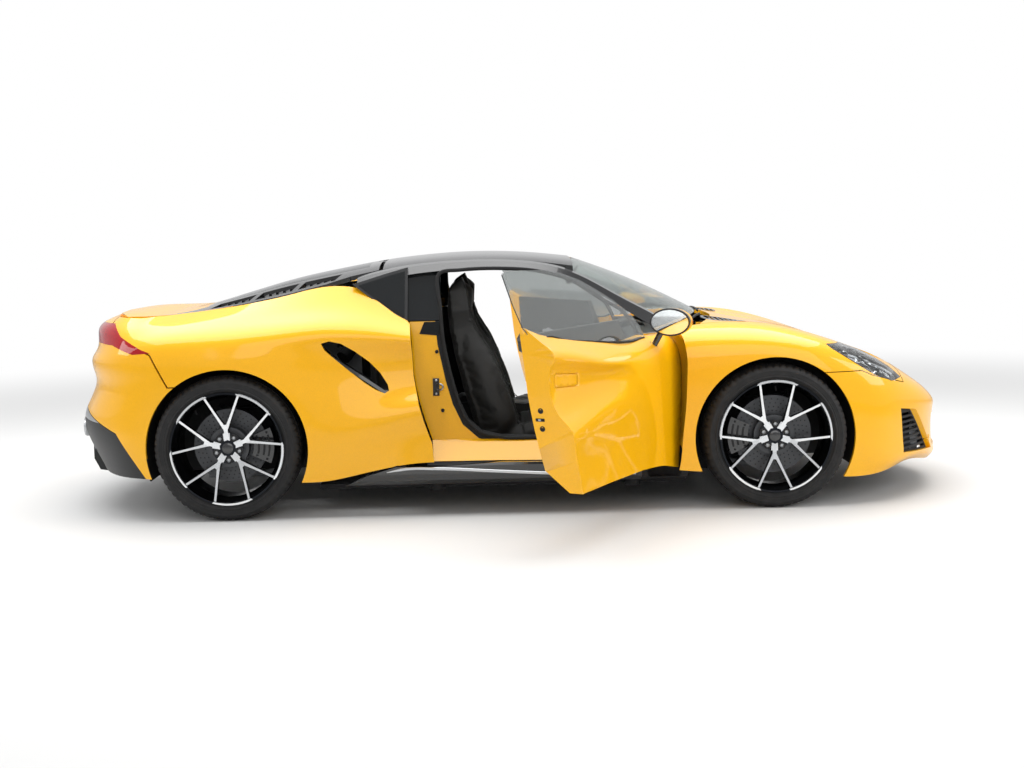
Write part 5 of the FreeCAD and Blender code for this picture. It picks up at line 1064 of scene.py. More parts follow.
SEAT_Y = 370.0
SEAT_BACK = [
    (20, 300, 232, 96, 76), (-20, 330, 222, 74, 70), (-60, 400, 232, 90, 74), (-127, 582, 238, 96, 80),
    (-178, 760, 232, 74, 74), (-205, 880, 196, 34, 56), (-212, 960, 150, 10, 44),
]
SEAT_CUSHION = [(325, 285, 205, 10, 60), (300, 318, 222, 45, 66), (220, 326, 232, 78, 72),
                (110, 318, 235, 98, 76), (20, 300, 232, 96, 76)]
BACK_SEAMS = (470, 590, 705, 820, 940)
CUSHION_SEAMS = (95, 190, 275)
SHRINK = 7.0
VOXEL = 0.0095
SWELL_FRAMES = 20


def padded_seat(name, node):
    """The seat's solid remeshed finely, then swelled by cloth pressure with its movement capped."""
    obj = object_from(name, NODES[node].data.copy())
    bpy.context.view_layer.objects.active = obj
    remesh = obj.modifiers.new("remesh", "REMESH")
    remesh.mode = "VOXEL"
    remesh.voxel_size = VOXEL
    applied(obj, remesh)
    bm = bmesh.new()
    bm.from_mesh(obj.data)
    bmesh.ops.smooth_vert(bm, verts=bm.verts, factor=0.5, use_axis_x=True, use_axis_y=True, use_axis_z=True)
    bm.normal_update()
    for vert in bm.verts:
        vert.co -= vert.normal * SHRINK * MM
    bm.to_mesh(obj.data)
    bm.free()
    swell(obj)
    relax = obj.modifiers.new("relax", "CORRECTIVE_SMOOTH")
    relax.iterations = 3
    applied(obj, relax)
    fine = obj.modifiers.new("fine", "SUBSURF")
    fine.levels = 1
    applied(obj, fine)
    return obj


def applied(obj, modifier):
    """Bakes a modifier into the object's mesh."""
    graph = bpy.context.evaluated_depsgraph_get()
    mesh = bpy.data.meshes.new_from_object(obj.evaluated_get(graph))
    obj.modifiers.remove(modifier)
    old = obj.data
    obj.data = mesh
    bpy.data.meshes.remove(old)


def swell(obj):
    """Cloth under inner pressure, each point kept near its start."""
    start = vectors(obj.data.vertices, "co")
    cloth = obj.modifiers.new("cloth", "CLOTH")
    cloth.settings.use_pressure = True
    cloth.settings.uniform_pressure_force = 4.0
    cloth.settings.effector_weights.gravity = 0.0
    cloth.settings.tension_stiffness = 22.0
    cloth.settings.compression_stiffness = 22.0
    cloth.collision_settings.use_collision = False
    cloth.collision_settings.use_self_collision = False
    cloth.point_cache.frame_start = 1
    cloth.point_cache.frame_end = SWELL_FRAMES
    scene = bpy.context.scene
    for frame_number in range(1, SWELL_FRAMES + 1):
        scene.frame_set(frame_number)
    applied(obj, cloth)
    scene.frame_set(1)
    step = vectors(obj.data.vertices, "co") - start
    reach = np.linalg.norm(step, axis=1, keepdims=True)
    step *= np.minimum(1.0, scene.coupe.swell / np.maximum(reach, 1e-9))
    obj.data.vertices.foreach_set("co", (start + step).ravel())
    obj.data.update()


def columns_at(rows, key, value, wanted):
    """Columns of a seat table at a value of its key column."""
    return [np.interp(value, [row[key] for row in rows], [row[k] for row in rows]) for k in wanted]


def station_line(rows, share):
    """A line up the seat's face, at a share of the way from its middle to the bolsters."""
    return smooth_path([(x, SEAT_Y + share * (half - wide), z) for x, z, half, _, wide in rows], 9.0) / MM


def cross_line(x, z, half, wide):
    """A line across the seat's face between the bolsters."""
    return np.array([(x, SEAT_Y + share * (half - wide), z) for share in np.linspace(-1, 1, 40)])


def seat_seams():
    """Lines of the sewn channels, in mm, for the left seat."""
    lines = [station_line(rows, side) for side in (-1, 1) for rows in (SEAT_BACK, SEAT_CUSHION)]
    for z in BACK_SEAMS:
        x, half, wide = columns_at(SEAT_BACK, 1, z, (0, 2, 4))
        lines.append(cross_line(x, z, half, wide))
    for x in CUSHION_SEAMS:
        z, half, wide = columns_at(SEAT_CUSHION[::-1], 0, x, (1, 2, 4))
        lines.append(cross_line(x, z, half, wide))
    return lines


def bolster_seams():
    """Lines along the crests of the bolsters."""
    lines = []
    for rows, forward, upward in ((SEAT_BACK[1:6], 1, 0), (SEAT_CUSHION, 0, 1)):
        for side in (-1, 1):
            points = [(x + rise * forward, SEAT_Y + side * (half - wide * 0.25), z + rise * upward)
                      for x, z, half, rise, wide in rows]
            lines.append(smooth_path(points, 9.0) / MM)
    return lines


def sew(obj, lines, mirror, depth=5.5, width=7.0):
    """Pulls the surface in along the seams, and returns the lines laid in their channels."""
    mesh = obj.data
    places = vectors(mesh.vertices, "co")
    normals = vectors(mesh.vertices, "normal")
    tree = BVHTree.FromPolygons(places.tolist(), [tuple(p.vertices) for p in mesh.polygons])
    laid = []
    for line in lines:
        line = line * MM * np.array([1, mirror, 1])
        laid.append([tree.find_nearest(Vector(point))[:2] for point in line])
    seam_points = np.array([spot for line in laid for spot, _ in line])
    finder = kdtree.KDTree(len(seam_points))
    for index, point in enumerate(seam_points):
        finder.insert(point, index)
    finder.balance()
    reach = np.array([finder.find(place)[2] for place in places]) / MM
    drop = depth * np.exp(-(reach / width) ** 2)
    places = places - normals * (drop * MM)[:, None]
    mesh.vertices.foreach_set("co", places.ravel())
    mesh.update()
    return [np.array([spot - normal * (depth - 1.5) * MM for spot, normal in line]) for line in laid]


def seat_finish(mesh, mirror):
    """Suede on the inserts between the bolsters, hide elsewhere."""
    middles, normals = face_places(mesh)
    places = middles / MM
    aside = np.abs(places[:, 1] * mirror - SEAT_Y)
    half, wide = columns_at(SEAT_BACK, 1, places[:, 2], (2, 4))
    back = (places[:, 2] > 345) & (places[:, 2] < 940) & (aside < half - wide) & (normals[:, 0] > 0.4)
    half, wide = columns_at(SEAT_CUSHION[::-1], 0, places[:, 0], (2, 4))
    seat = (places[:, 0] > 10) & (places[:, 0] < 275) & (aside < half - wide) & (normals[:, 2] > 0.4)
    seat &= places[:, 2] < 420
    finish_where(mesh, "suede", back | seat)


def seat_runners():
    """Runners, cross bars and side cover under the left seat."""
    shapes = []
    for y in (SEAT_Y - 160, SEAT_Y + 160):
        shapes.append(block((430, 34, 26), (95, y, 141), 3))
        shapes.append(block((380, 22, 26), (95, y, 166), 3))
    for x in (-40, 245):
        shapes.append(block((34, 330, 14), (x, SEAT_Y, 184), 3))
    cover = slab([(-150, 150), (240, 150), (285, 178), (270, 215), (-110, 212), (-160, 190)], 0, 12, 3)
    for y in (SEAT_Y - 196, SEAT_Y + 184):
        shapes.append(moved(cover, at(0, y, 0)))
    return merged(shapes)


def belt_shape():
    """Shoulder belt hanging from its guide to its anchor beside the left seat, as flat webbing."""
    shoulder = smooth_path([(-446, 586, 1014), (-440, 594, 960), (-428, 604, 800), (-416, 611, 600),
                            (-404, 617, 400), (-396, 620, 190)], 16)
    anchor = block((46, 26, 60), (-396, 622, 168), 5)
    guide = block((70, 16, 44), (-446, 588, 1012), 5)
    return merged([swept(shoulder, bar(46, 1.6, 0.6), up=(0, 1, 0)), anchor, guide])


def buckle_shape():
    stalk = smooth_path([(-50, 196, 170), (-62, 186, 240), (-74, 180, 300)], 12)
    head = moved(block((34, 24, 72), (0, 0, 0), 6), at(-80, 180, 325) @ rotation(-12))
    return merged([swept(stalk, bar(24, 8, 2), up=(0, 1, 0)), head])


class COUPE_OT_seats(bpy.types.Operator):
    """Padded bucket seats with sewn channels, runners and belts"""
    bl_idname = "coupe.seats"
    bl_label = "Seats and belts"

    def execute(self, context):
        for side, mirror in (("left", 1), ("right", -1)):
            pad = padded_seat("seat_pad_" + side, "seat_" + side)
            mesh = pad.data
            give(pad, "leather", "body")
            main = sew(pad, seat_seams(), mirror)
            crests = sew(pad, bolster_seams(), mirror, 3.0, 5.0)
            seat_finish(mesh, mirror)
            mesh.polygons.foreach_set("use_smooth", np.ones(len(mesh.polygons), bool))
            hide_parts("seat_" + side)
            tubes = [swept(line, ring(1.7, 6), up=(0.3, 0.2, 1)) for line in main + crests]
            pieces_of("seat_piping_" + side, merged(tubes), "leather", "body")
            runners = seat_runners()
            pieces_of("seat_runners_" + side, runners if side == "left" else reflected(runners), "satin",
                      "body")
        on_both_sides("seat_belt", belt_shape(), "webbing")
        on_both_sides("belt_buckle", buckle_shape(), "satin")
        return {"FINISHED"}


# Cabin: dash, screens, vents, wheel boss, console, pedals, linings and mirror

def vent_shape(x, y, z, width, height):
    """Air vent in the dash's face: rim, slats and the knob between them."""
    half, low = width / 2, height / 2
    rim = smooth_path([(x, y - half, z - low), (x, y + half, z - low), (x, y + half, z + low),
                       (x, y - half, z + low)], 8, True)
    shapes = [swept(rim, bar(9, 7, 2), up=(1, 0, 0), closed=True)]
    count = max(3, int(height / 12))
    for k in range(count):
        shapes.append(block((16, width - 8, 2.4), (x + 8, y, z - low + height * (k + 0.5) / count), 0.8,
                            rotation(18)))
    shapes.append(block((12, 9, height - 6), (x + 4, y, z), 2))
    return merged(shapes)


def on_wheel(shape):
    """A shape drawn flat on the steering wheel's face, set on the tilted column."""
    turn = at(465, 370, 627) @ rotation(-68)
    return moved(shape, turn)


def wheel_boss():
    """Airbag cover on the steering wheel's hub."""
    outline = [(-44, -40), (-52, -8), (-46, 30), (-24, 44), (24, 44), (46, 30), (52, -8), (44, -40),
               (20, -54), (-20, -54)]
    return moved(slab(outline, -20, 6, 6), rotation(90, "Z") @ rotation(90, "X"))


def switch_pods():
    shapes = []
    for side in (-1, 1):
        for place, size in (((0, side * 84, 2), (30, 30, 14)), ((14, side * 84, 10), (9, 20, 4)),
                            ((-2, side * 84, 10), (9, 20, 4))):
            shapes.append(block(size, place, 2))
        shapes.append(block((70, 26, 4), (30, side * 112, -26), 1.6))
    return merged(shapes)


def grip_stitches():
    """Cross stitches round the inside of the steering wheel's grip."""
    stitch = block((1.5, 5.5, 1.5), (178 - 16.2, 0, 0), 0.4, rotation(22, "X"))
    return merged([moved(stitch, rotation(360 * k / 96, "Z")) for k in range(96)])


def gear_lever():
    """Lever with its gaiter ring and a shaped grip."""
    matrix = at(150, 0, 452) @ rotation(90, "X")
    boot = lathed([(46, 0), (44, 6), (34, 16), (22, 34), (13, 52), (9, 60)], 28)
    stem = lathed([(7, 58), (7, 84), (13, 88), (20, 98), (23, 112), (21, 126), (14, 135), (0.1, 138)], 28)
    return moved(boot, matrix), moved(stem, matrix)


def pedal_shapes():
    shapes = []
    for y, width, top in ((300, 44, 238), (395, 62, 250)):
        tread = [block((10, width, 84), (0, 0, 0), 3)]
        tread += [block((3, width - 10, 5), (-6, 0, k), 1) for k in (-24, -8, 8, 24)]
        shapes.append(moved(merged(tread), at(845, y, top) @ rotation(28)))
        arm = smooth_path([(850, y, top), (880, y, top + 70), (905, y, top + 160), (935, y, top + 250)], 14)
        shapes.append(swept(arm, bar(12, 18, 2), up=(0, 1, 0)))
    shapes.append(block((10, 90, 170), (905, 470, 240), 4, rotation(38)))
    return merged(shapes)


def rear_view_mirror():
    outline = [(-112, -24), (-118, 0), (-108, 26), (-60, 32), (60, 32), (108, 26), (118, 0), (112, -24),
               (60, -30), (-60, -30)]
    place = at(300, 0, 1075) @ rotation(-12) @ rotation(90, "Z")
    stalk = smooth_path([(312, 0, 1082), (335, 0, 1108), (352, 0, 1140)], 10)
    glass = slab([(px * 0.93, pz * 0.86) for px, pz in outline], -13.5, -11.5, 0.6)
    shell = merged([moved(slab(outline, -12, 12, 6), place), swept(stalk, ring(8, 10), up=(0, 1, 0))])
    return shell, moved(glass, place)


def visor_shape():
    """Padded sun visor against the header."""
    outline = [(-60, -150), (0, -158), (62, -150), (70, -60), (66, 90), (40, 140), (-20, 146), (-62, 120)]
    return moved(slab(outline, -7, 7, 5), at(205, 300, 1128) @ rotation(24) @ rotation(90, "X"))


def dash_shapes():
    """Screens, vents and trim line of the dash, each with its finish."""
    frames = [block((6, 250, 118), (556, 0, 752), 4, rotation(-8)),
              block((5, 226, 88), (566, 370, 756), 3, rotation(-14))]
    glasses = [block((3, 236, 104), (552.4, 0, 752), 1.2, rotation(-8)),
               block((3, 214, 78), (562.6, 370, 756), 1.2, rotation(-14))]
    vents = [vent_shape(588, 185, 690, 86, 44), vent_shape(588, -185, 690, 86, 44),
             vent_shape(588, 565, 700, 96, 48), vent_shape(588, -565, 700, 96, 48)]
    line = smooth_path([(583, -620, 738), (579, -300, 736), (578, 0, 735), (579, 300, 736),
                        (583, 620, 738)], 20)
    return [
        ("screen_frame", merged(frames), "gloss", "black_gloss"),
        ("screen_glass", merged(glasses), "display", "black_gloss"),
        ("dash_vents", merged(vents), "satin", "black_plastic"),
        ("dash_line", swept(line, bar(6, 5, 1.5), up=(0, 0, 1)), "steel", "aluminium"),
    ]


def console_shapes():
    """Keys, armrest and edge strips of the console, each with its finish."""
    keys = [block((22, 26, 6), (262 + 30 * row, -48 + 32 * k, 474 + 17 * row), 2, rotation(-30))
            for row in range(2) for k in range(4)]
    starter = moved(lathed([(0.1, 12), (13, 11), (15, 8), (19, 8), (20, 0)], 28),
                    at(212, 46, 452) @ rotation(90, "X"))
    rest = [(-292, 440), (-292, 462), (-270, 474), (-80, 474), (-56, 462), (-50, 442)]
    edges = []
    for y in (-98, 98):
        path = smooth_path([(-60, y, 438), (60, y, 428), (330, y, 473), (490, y, 632)], 18)
        edges.append(swept(path, bar(7, 5, 1.5), up=(0, 1, 0)))
    return [
        ("console_keys", merged(keys + [starter]), "satin", "black_plastic"),
        ("console_armrest", slab(rest, -92, 92, 12), "leather", "black_leather"),
        ("console_edges", merged(edges), "steel", "aluminium"),
    ]


class COUPE_OT_cabin(bpy.types.Operator):
    """Dash, console, pedals, linings and mirror"""
    bl_idname = "coupe.cabin"
    bl_label = "Cabin details"

    def execute(self, context):
        for name, shape, finish, slot in dash_shapes() + console_shapes():
            pieces_of(name, shape, finish, "body")
        pieces_of("wheel_boss", on_wheel(wheel_boss()), "leather", "steering_wheel")
        pieces_of("wheel_switches", on_wheel(switch_pods()), "satin", "steering_wheel")
        pieces_of("wheel_stitches", on_wheel(grip_stitches()), "stitch", "steering_wheel")
        boot, lever = gear_lever()
        pieces_of("gear_boot", boot, "suede", "body")
        pieces_of("gear_lever", lever, "steel", "body")
        pieces_of("pedals", pedal_shapes(), "steel", "body")
        shell, glass = rear_view_mirror()
        pieces_of("inner_mirror_shell", shell, "satin", "body")
        pieces_of("inner_mirror_glass", glass, "mirror", "body")
        on_both_sides("sun_visor", visor_shape(), "suede")
        self.line_cabin()
        return {"FINISHED"}

    def line_cabin(self):
        """Carpet and trim over the tub's faces inside the cabin, and cloth under the roof."""
        for name in ("floor_tub", "bulkheads"):
            mesh = NODES[name].data
            middles, normals = face_places(mesh)
            places = middles / MM
            inside = (places[:, 0] > -668) & (places[:, 0] < 800.5) & (np.abs(places[:, 1]) < 705)
            inside &= (places[:, 2] > 124.5) & (places[:, 2] < 900)
            finish_where(mesh, "carpet", inside)
        mesh = NODES["cabin_frame"].data
        middles, normals = face_places(mesh)
        inner = normals[:, 1] * np.sign(middles[:, 1]) < -0.35
        finish_where(mesh, "suede", inner & (middles[:, 2] > 0.9))


# Doors and their openings: seals, latches, handles, trim and mirrors

JAMB_LINE = [(257, 774), (905, 709), (955, 703), (1000, 690), (1050, 674), (1110, 658), (1160, 643)]
OPENING_LINE = [
    (-337, 1133), (-342, 964), (-330, 799), (-296, 633), (-265, 521), (-223, 431), (-159, 374),
    (-71, 352), (117, 345), (480, 345), (570, 420), (610, 560), (620, 700), (590, 815),
    (520, 930), (420, 990), (281, 1080), (114, 1130), (-52, 1145), (-250, 1142),
]
WINDOW_LINE = [(800, 801), (860, 774), (905, 754), (1010, 704), (1166, 645), (1200, 632)]


def across(line, z):
    """Half width at a height on a leaning line."""
    return float(np.interp(z, [row[0] for row in line], [row[1] for row in line]))


def opening_seal():
    """Soft bulb of the seal that runs round the cabin opening."""
    points = [(x, across(JAMB_LINE, z) + 7, z) for x, z in OPENING_LINE]
    path = smooth_path(points, 14, True)
    middle = path.mean(0)
    outward = path - middle
    outward[:, 1] = 0
    outward /= np.linalg.norm(outward, axis=1, keepdims=True)
    return swept(path + outward * 0.004, ring(9, 10, 0.85), up=(0, 1, 0), closed=True)


def striker():
    """Latch striker on its plate, in the rear of the jamb."""
    y = across(JAMB_LINE, 592)
    plate = block((30, 9, 84), (-374, y + 4, 592), 3)
    bow = smooth_path([(-372, y + 8, 606), (-350, y + 20, 606), (-342, y + 22, 600), (-342, y + 22, 588),
                       (-350, y + 20, 580), (-372, y + 8, 580)], 6)
    pin = swept(bow, ring(4.5, 10), up=(0, 1, 0))
    screws = [moved(lathed([(0.1, 4), (4, 4), (6, 2), (6, 0)], 12),
                    at(-374, y + 8, z)) for z in (560, 624)]
    return plate, merged([pin] + screws)


def jamb_details():
    """Bump stops on the post and the wiring gaiter."""
    shapes = []
    for z in (480, 760):
        y = across(JAMB_LINE, z)
        shapes.append(moved(lathed([(0.1, 10), (7, 9), (9, 4), (9, 0)], 16),
                            at(-345 - (z > 700) * 22, y, z)))
    gaiter = smooth_path([(652, 770, 540), (664, 800, 548), (676, 822, 556), (684, 836, 560)], 3.0)
    rings = 10 + 2.2 * np.sin(np.linspace(0, 14 * math.pi, len(gaiter)))
    shapes.append(swept(gaiter, ring(1.0, 12), up=(0, 0, 1),
                        taper=(np.linspace(0, 1, len(gaiter)), rings)))
    return merged(shapes)


def belt_strips():
    """Weather strips along the foot of the door's window."""
    shapes = []
    for step, width in ((7.5, 7), (-10.5, 6)):
        points = [(x, across(WINDOW_LINE, z) + step, z) for x, z in
                  ((-470, 862), (-330, 893), (-200, 871), (14, 848), (240, 828), (484, 813), (620, 819))]
        shapes.append(swept(smooth_path(points, 16), bar(width, 9, 2.5), up=(0, 0, 1)))
    return merged(shapes)


def shut_face_details():
    """Latch, its throat and the bump stops in the door's rear face."""
    lean = rotation(-11.7)
    latch = block((4, 12, 8), (-461, 782, 566), 1.5, lean)
    dark = [block((5, 40, 13), (-458, 784, 566), 2, lean)]
    for x, z in ((-466, 604), (-451, 529)):
        place = at(x, 790, z) @ rotation(90, "Z")
        dark.append(moved(lathed([(0.1, 1), (6, 1), (9, 3), (11, 3), (12, 0), (12, -4)], 20), place))
    return latch, merged(dark)


def pillar_cover():
    """Gloss panel behind the window over the pillar, and its corner over the jamb's top."""
    points = [(-428, across(WINDOW_LINE, z) - 50, z) for z in (907, 960, 1010, 1060, 1110, 1146)]
    cover = swept(smooth_path(points, 12), bar(10, 167, 3), up=(1, 0, 0))
    corner = moved(slab([(-449, 846), (-424, 903), (-352, 903), (-356, 836)], 0, 3, 1), at(0, 714.5, 0))
    return merged([cover, corner])


MIRROR_Y, MIRROR_Z = 958, 897


def mirror_bezel():
    """Black ring round the mirror's glass with the stalk's gasket, and the repeater lamp."""
    rim = swept(oval(549.0, MIRROR_Y, MIRROR_Z, 93, 59, 72) * MM, bar(9, 10, 3), up=(1, 0, 0), closed=True)
    gasket = swept(smooth_path([(590, 838, 778), (596, 850, 784)], 3), ring(24, 16, 0.7), up=(1, 0, 0))
    turns = np.linspace(-0.9, 0.9, 14)
    edge = np.stack([575 + 30 * np.abs(np.sin(turns)), MIRROR_Y + 99 * np.cos(turns) - 1.5,
                     MIRROR_Z + 40 * np.sin(turns)], 1)
    return merged([rim, gasket]), swept(edge * MM, bar(4, 7, 1.2), up=(1, 0, 0))


def mirror_glass():
    """Slightly domed glass, as rings about its middle."""
    rows = [oval(543.2 + 1.4 * share ** 2, MIRROR_Y, MIRROR_Z, 90 * share, 56 * share, 48)
            for share in np.linspace(0.02, 1, 12)]
    return np.concatenate(rows) * MM, grid_faces(12, 48, False, True) + [tuple(range(48))]


def door_trim_shapes():
    """Armrest, pull, switches, speaker, pocket and seam of the door trim, each with its finish."""
    rest = smooth_path([(-255, 650, 632), (-120, 640, 640), (60, 636, 646), (260, 640, 650),
                        (380, 656, 656)], 16)
    armrest = swept(rest, bar(44, 26, 9), up=(0, 0, 1), taper=((0, 0.12, 0.88, 1), (0.5, 1, 1, 0.5)))
    pull = smooth_path([(110, 640, 672), (130, 616, 700), (210, 604, 716), (290, 616, 706),
                        (318, 640, 680)], 8)
    release = smooth_path([(360, 686, 730), (390, 678, 738), (430, 684, 742)], 6)
    handles = [swept(pull, ring(9, 12), up=(0, 1, 0)), swept(release, bar(14, 7, 2.5), up=(0, 1, 0))]
    switches = [block((26, 20, 6), (-10 + 34 * k, 622, 662), 2) for k in range(3)]
    turns = np.linspace(0, 2 * math.pi, 48, endpoint=False)
    rings = []
    for radius in range(12, 84, 8):
        z = 430 + np.sin(turns) * radius
        path = np.stack([400 + np.cos(turns) * radius, np.interp(z, [257, 530, 560], [733, 699, 652]), z], 1)
        rings.append(swept(path * MM, bar(3.2, 3, 0.8), up=(0, 1, 0), closed=True))
    pocket = smooth_path([(-190, 717, 394), (0, 711, 384), (180, 711, 382), (300, 716, 392)], 18)
    thread = smooth_path([(-288, 688.6, 770), (-60, 688.6, 762), (260, 688.6, 752), (520, 688.6, 770)], 12)
    return [
        ("door_armrest", armrest, "leather", "black_leather"),
        ("door_pull", merged(handles), "steel", "aluminium"),
        ("door_switches", merged(switches), "satin", "black_plastic"),
        ("door_speaker", merged(rings), "matt", "black_plastic"),
        ("door_pocket", swept(pocket, bar(10, 34, 4), up=(0, 0, 1)), "satin", "black_plastic"),
        ("door_seam", swept(thread, ring(1.4, 6), up=(0, 1, 0)), "stitch", "black_leather"),
    ]


class COUPE_OT_doors(bpy.types.Operator):
    """Seals, latches, handles, trim and mirrors of both doors"""
    bl_idname = "coupe.doors"
    bl_label = "Doors and openings"

    def execute(self, context):
        plate, pin = striker()
        latch, dark = shut_face_details()
        bezel, lamp = mirror_bezel()
        for name, shape, finish, body, slot in (
                ("opening_seal", opening_seal(), "rubber_seal", "body", "black_plastic"),
                ("striker_plate", plate, "satin", "body", "black_plastic"),
                ("striker_pin", pin, "steel", "body", "aluminium"),
                ("jamb_fittings", jamb_details(), "rubber_seal", "body", "black_plastic"),
                ("belt_strips", belt_strips(), "rubber_seal", "door", "black_plastic"),
                ("pillar_cover", pillar_cover(), "smoked", "body", "black_gloss"),
                ("door_latch", latch, "steel", "door", "aluminium"),
                ("door_stops", dark, "rubber_seal", "door", "black_plastic"),
                ("mirror_bezel", bezel, "satin", "door", "black_plastic"),
                ("mirror_repeater", lamp, "amber_lens", "door", "clear_glass"),
                ("mirror_glass", mirror_glass(), "mirror", "door", "aluminium")):
            on_both_sides(name, shape, finish, body)
        for name, shape, finish, slot in door_trim_shapes():
            on_both_sides(name, shape, finish, "door")
        self.paint_mirrors()
        return {"FINISHED"}

    def paint_mirrors(self):
        """Body colour on the mirror's cap, ahead of its black rim."""
        back = DOOR_OPEN.inverted()
        for side, sign in (("left", 1), ("right", -1)):
            mesh = NODES["door_mirror_" + side].data
            places = face_places(mesh)[0] * np.array([1, sign, 1])
            x, y, z = (carried(places, back) / MM).T
            near = np.hypot((y - MIRROR_Y) / 99, (z - MIRROR_Z) / 65) < 1.03
            finish_where(mesh, "paint", near & (x > 560) & (y > 862) & (z > 840))


# Lamps: projectors and light bars behind the lens, ribs behind the red glass

def headlamp_inner():
    """Bezels and globes of the left headlamp's three projectors."""
    bezels, globes = [], []
    for x, y, z, radius in ((1560, 812, 690, 27), (1640, 790, 662, 25), (1716, 752, 632, 22)):
        turn = at(x, y, z) @ rotation(-38, "Z")
        bezel = [(radius + 9, -10), (radius + 9, 3), (radius + 5, 6), (radius, 2), (radius, -8)]
        globe = [(0.1, 8), (radius * 0.5, 6.5), (radius * 0.85, 1), (radius, -7), (radius, -12)]
        bezels.append(moved(lathed(bezel), turn))
        globes.append(moved(lathed(globe), turn))
    return merged(bezels), merged(globes)


def light_bar(spots, lift, section, up):
    """A strip that follows a lamp's edge under the lens."""
    return swept(laid_on(WRAP_LEFT, smooth_path(spots, 8) / MM, lift), section, up=up)


HEADLAMP_TOP = [(1490, 860, 758), (1585, 850, 749), (1700, 800, 699), (1810, 735, 634), (1866, 690, 588)]
HEADLAMP_LOW = [(1505, 880, 741), (1594, 880, 683), (1700, 840, 622), (1800, 780, 580), (1850, 740, 577)]
LENS_REACH = 0.0041
TAIL_LAMP_TOP = [(-1708, 870, 800), (-1745, 868, 812), (-1850, 820, 866), (-1915, 780, 917),
                 (-2020, 600, 915), (-2090, 380, 912), (-2120, 180, 910)]
TAIL_LAMP_LOW = [(-1712, 872, 797), (-1785, 860, 797), (-1890, 800, 832), (-2010, 640, 843),
                 (-2095, 420, 846), (-2125, 190, 847)]


class COUPE_OT_lamps(bpy.types.Operator):
    """Inner parts of the head and tail lamps"""
    bl_idname = "coupe.lamps"
    bl_label = "Lamps"

    def execute(self, context):
        bezels, globes = headlamp_inner()
        on_both_sides("lamp_bezels", bezels, "chrome")
        on_both_sides("lamp_globes", globes, "lens")
        bars = [light_bar(line, -9, bar(9, 7, 2.5), (0, 1, 0.2)) for line in (HEADLAMP_TOP, HEADLAMP_LOW)]
        on_both_sides("light_guides", merged(bars), "light_guide")
        steps = [light_bar([(x, y, z - drop) for x, y, z in HEADLAMP_TOP], -16 - drop * 0.2, bar(7, 5, 1.5),
                           (0, 1, 0.2)) for drop in (14, 28)]
        on_both_sides("reflector_steps", merged(steps), "chrome")
        glow = [light_bar(line, -6, bar(6, 5, 1.5), (0, 0.4, 1)) for line in (TAIL_LAMP_TOP, TAIL_LAMP_LOW)]
        on_both_sides("tail_light_guides", merged(glow), "red_guide")
        # The clear lens stays on the skin; the bowl behind it is dark
        mesh = NODES["headlamps"].data
        finish_where(mesh, "satin", WRAP_BOTH.nearest(face_places(mesh)[0])[2] > LENS_REACH)
        return {"FINISHED"}


# Outer trim: strips, louvres, intakes, vents, engine top, wipers and exhaust tips

def skirt_strip():
    """Bright blade along the lower edge of the skirt."""
    line = smooth_path([(-610, 916.5, 212), (-524, 917, 226), (-360, 917.5, 224), (-79, 917.5, 206),
                        (189, 917, 190), (420, 915, 182), (560, 908, 178)], 14)
    return swept(line, bar(5, 14, 1.6), up=(0, 0, 1), taper=((0, 0.06, 0.9, 1), (0.25, 1, 1, 0.3)))


def wiper(pivot, elbow, tip, park):
    """Wiper arm and blade, resting on the windscreen."""
    arm = smooth_path([pivot, elbow, tip], 14)
    blade = smooth_path(park, 14)
    cap = moved(lathed([(0.1, 14), (10, 13), (15, 8), (16, 0)], 20),
                Matrix.Translation(Vector(pivot) * MM) @ rotation(-90, "X"))
    return merged([swept(arm, bar(13, 7, 2), up=(0, 0, 1), taper=((0, 1), (1.2, 0.7))),
                   swept(blade, bar(7, 12, 2), up=(0, 0, 1)), cap])


PIPE_Y, PIPE_Z = 400, 400


def exhaust_trim():
    """Rolled lip and inner tube of the left tail pipe."""
    lip = swept(oval(-2139.0, PIPE_Y, PIPE_Z, 46, 46, 48) * MM, ring(4.5, 10), up=(1, 0, 0), closed=True)
    tube = lathed([(41.5, 60), (41.5, -50), (36, -60), (36, -85), (0.1, -85)], 40)
    return lip, moved(tube, at(-2080, PIPE_Y, PIPE_Z) @ rotation(90, "Z"))


def louvre_blades():
    """Angled blades inside the louvres beside the rear window."""
    shapes = []
    for first in (-1000, -1210, -1425):
        for x in range(first + 26, first + 170, 36):
            spots = laid_on(ROOF_FORM, [(x - 8, 492, 1000), (x - 4, 530, 1000), (x, 566, 1000)], -12)
            shapes.append(swept(smooth_path(spots / MM, 10), bar(22, 3, 1), up=(-0.45, 0, 1)))
    return merged(shapes)


VENT_OUTLINE = [(950, 395), (945, 500), (985, 580), (1060, 600), (1130, 560), (1140, 480), (1090, 410),
                (1020, 380)]


def within(outline, x, y):
    """Which points lie inside an outline."""
    found = np.zeros(len(x), bool)
    for (x0, y0), (x1, y1) in zip(outline, outline[1:] + outline[:1]):
        found ^= ((y0 > y) != (y1 > y)) & (x < (x1 - x0) * (y - y0) / (y1 - y0 + 1e-9) + x0)
    return found


def vent_rim():
    """Black rim round the left vent in the bonnet."""
    line = smooth_path([(x, y, 840) for x, y in VENT_OUTLINE], 10, True)
    return swept(laid_on(BONNET_FORM, line / MM, -0.5), bar(16, 5, 1.6), up=(0, 0, 1), closed=True)


FRIT_DEPTH = 6.2


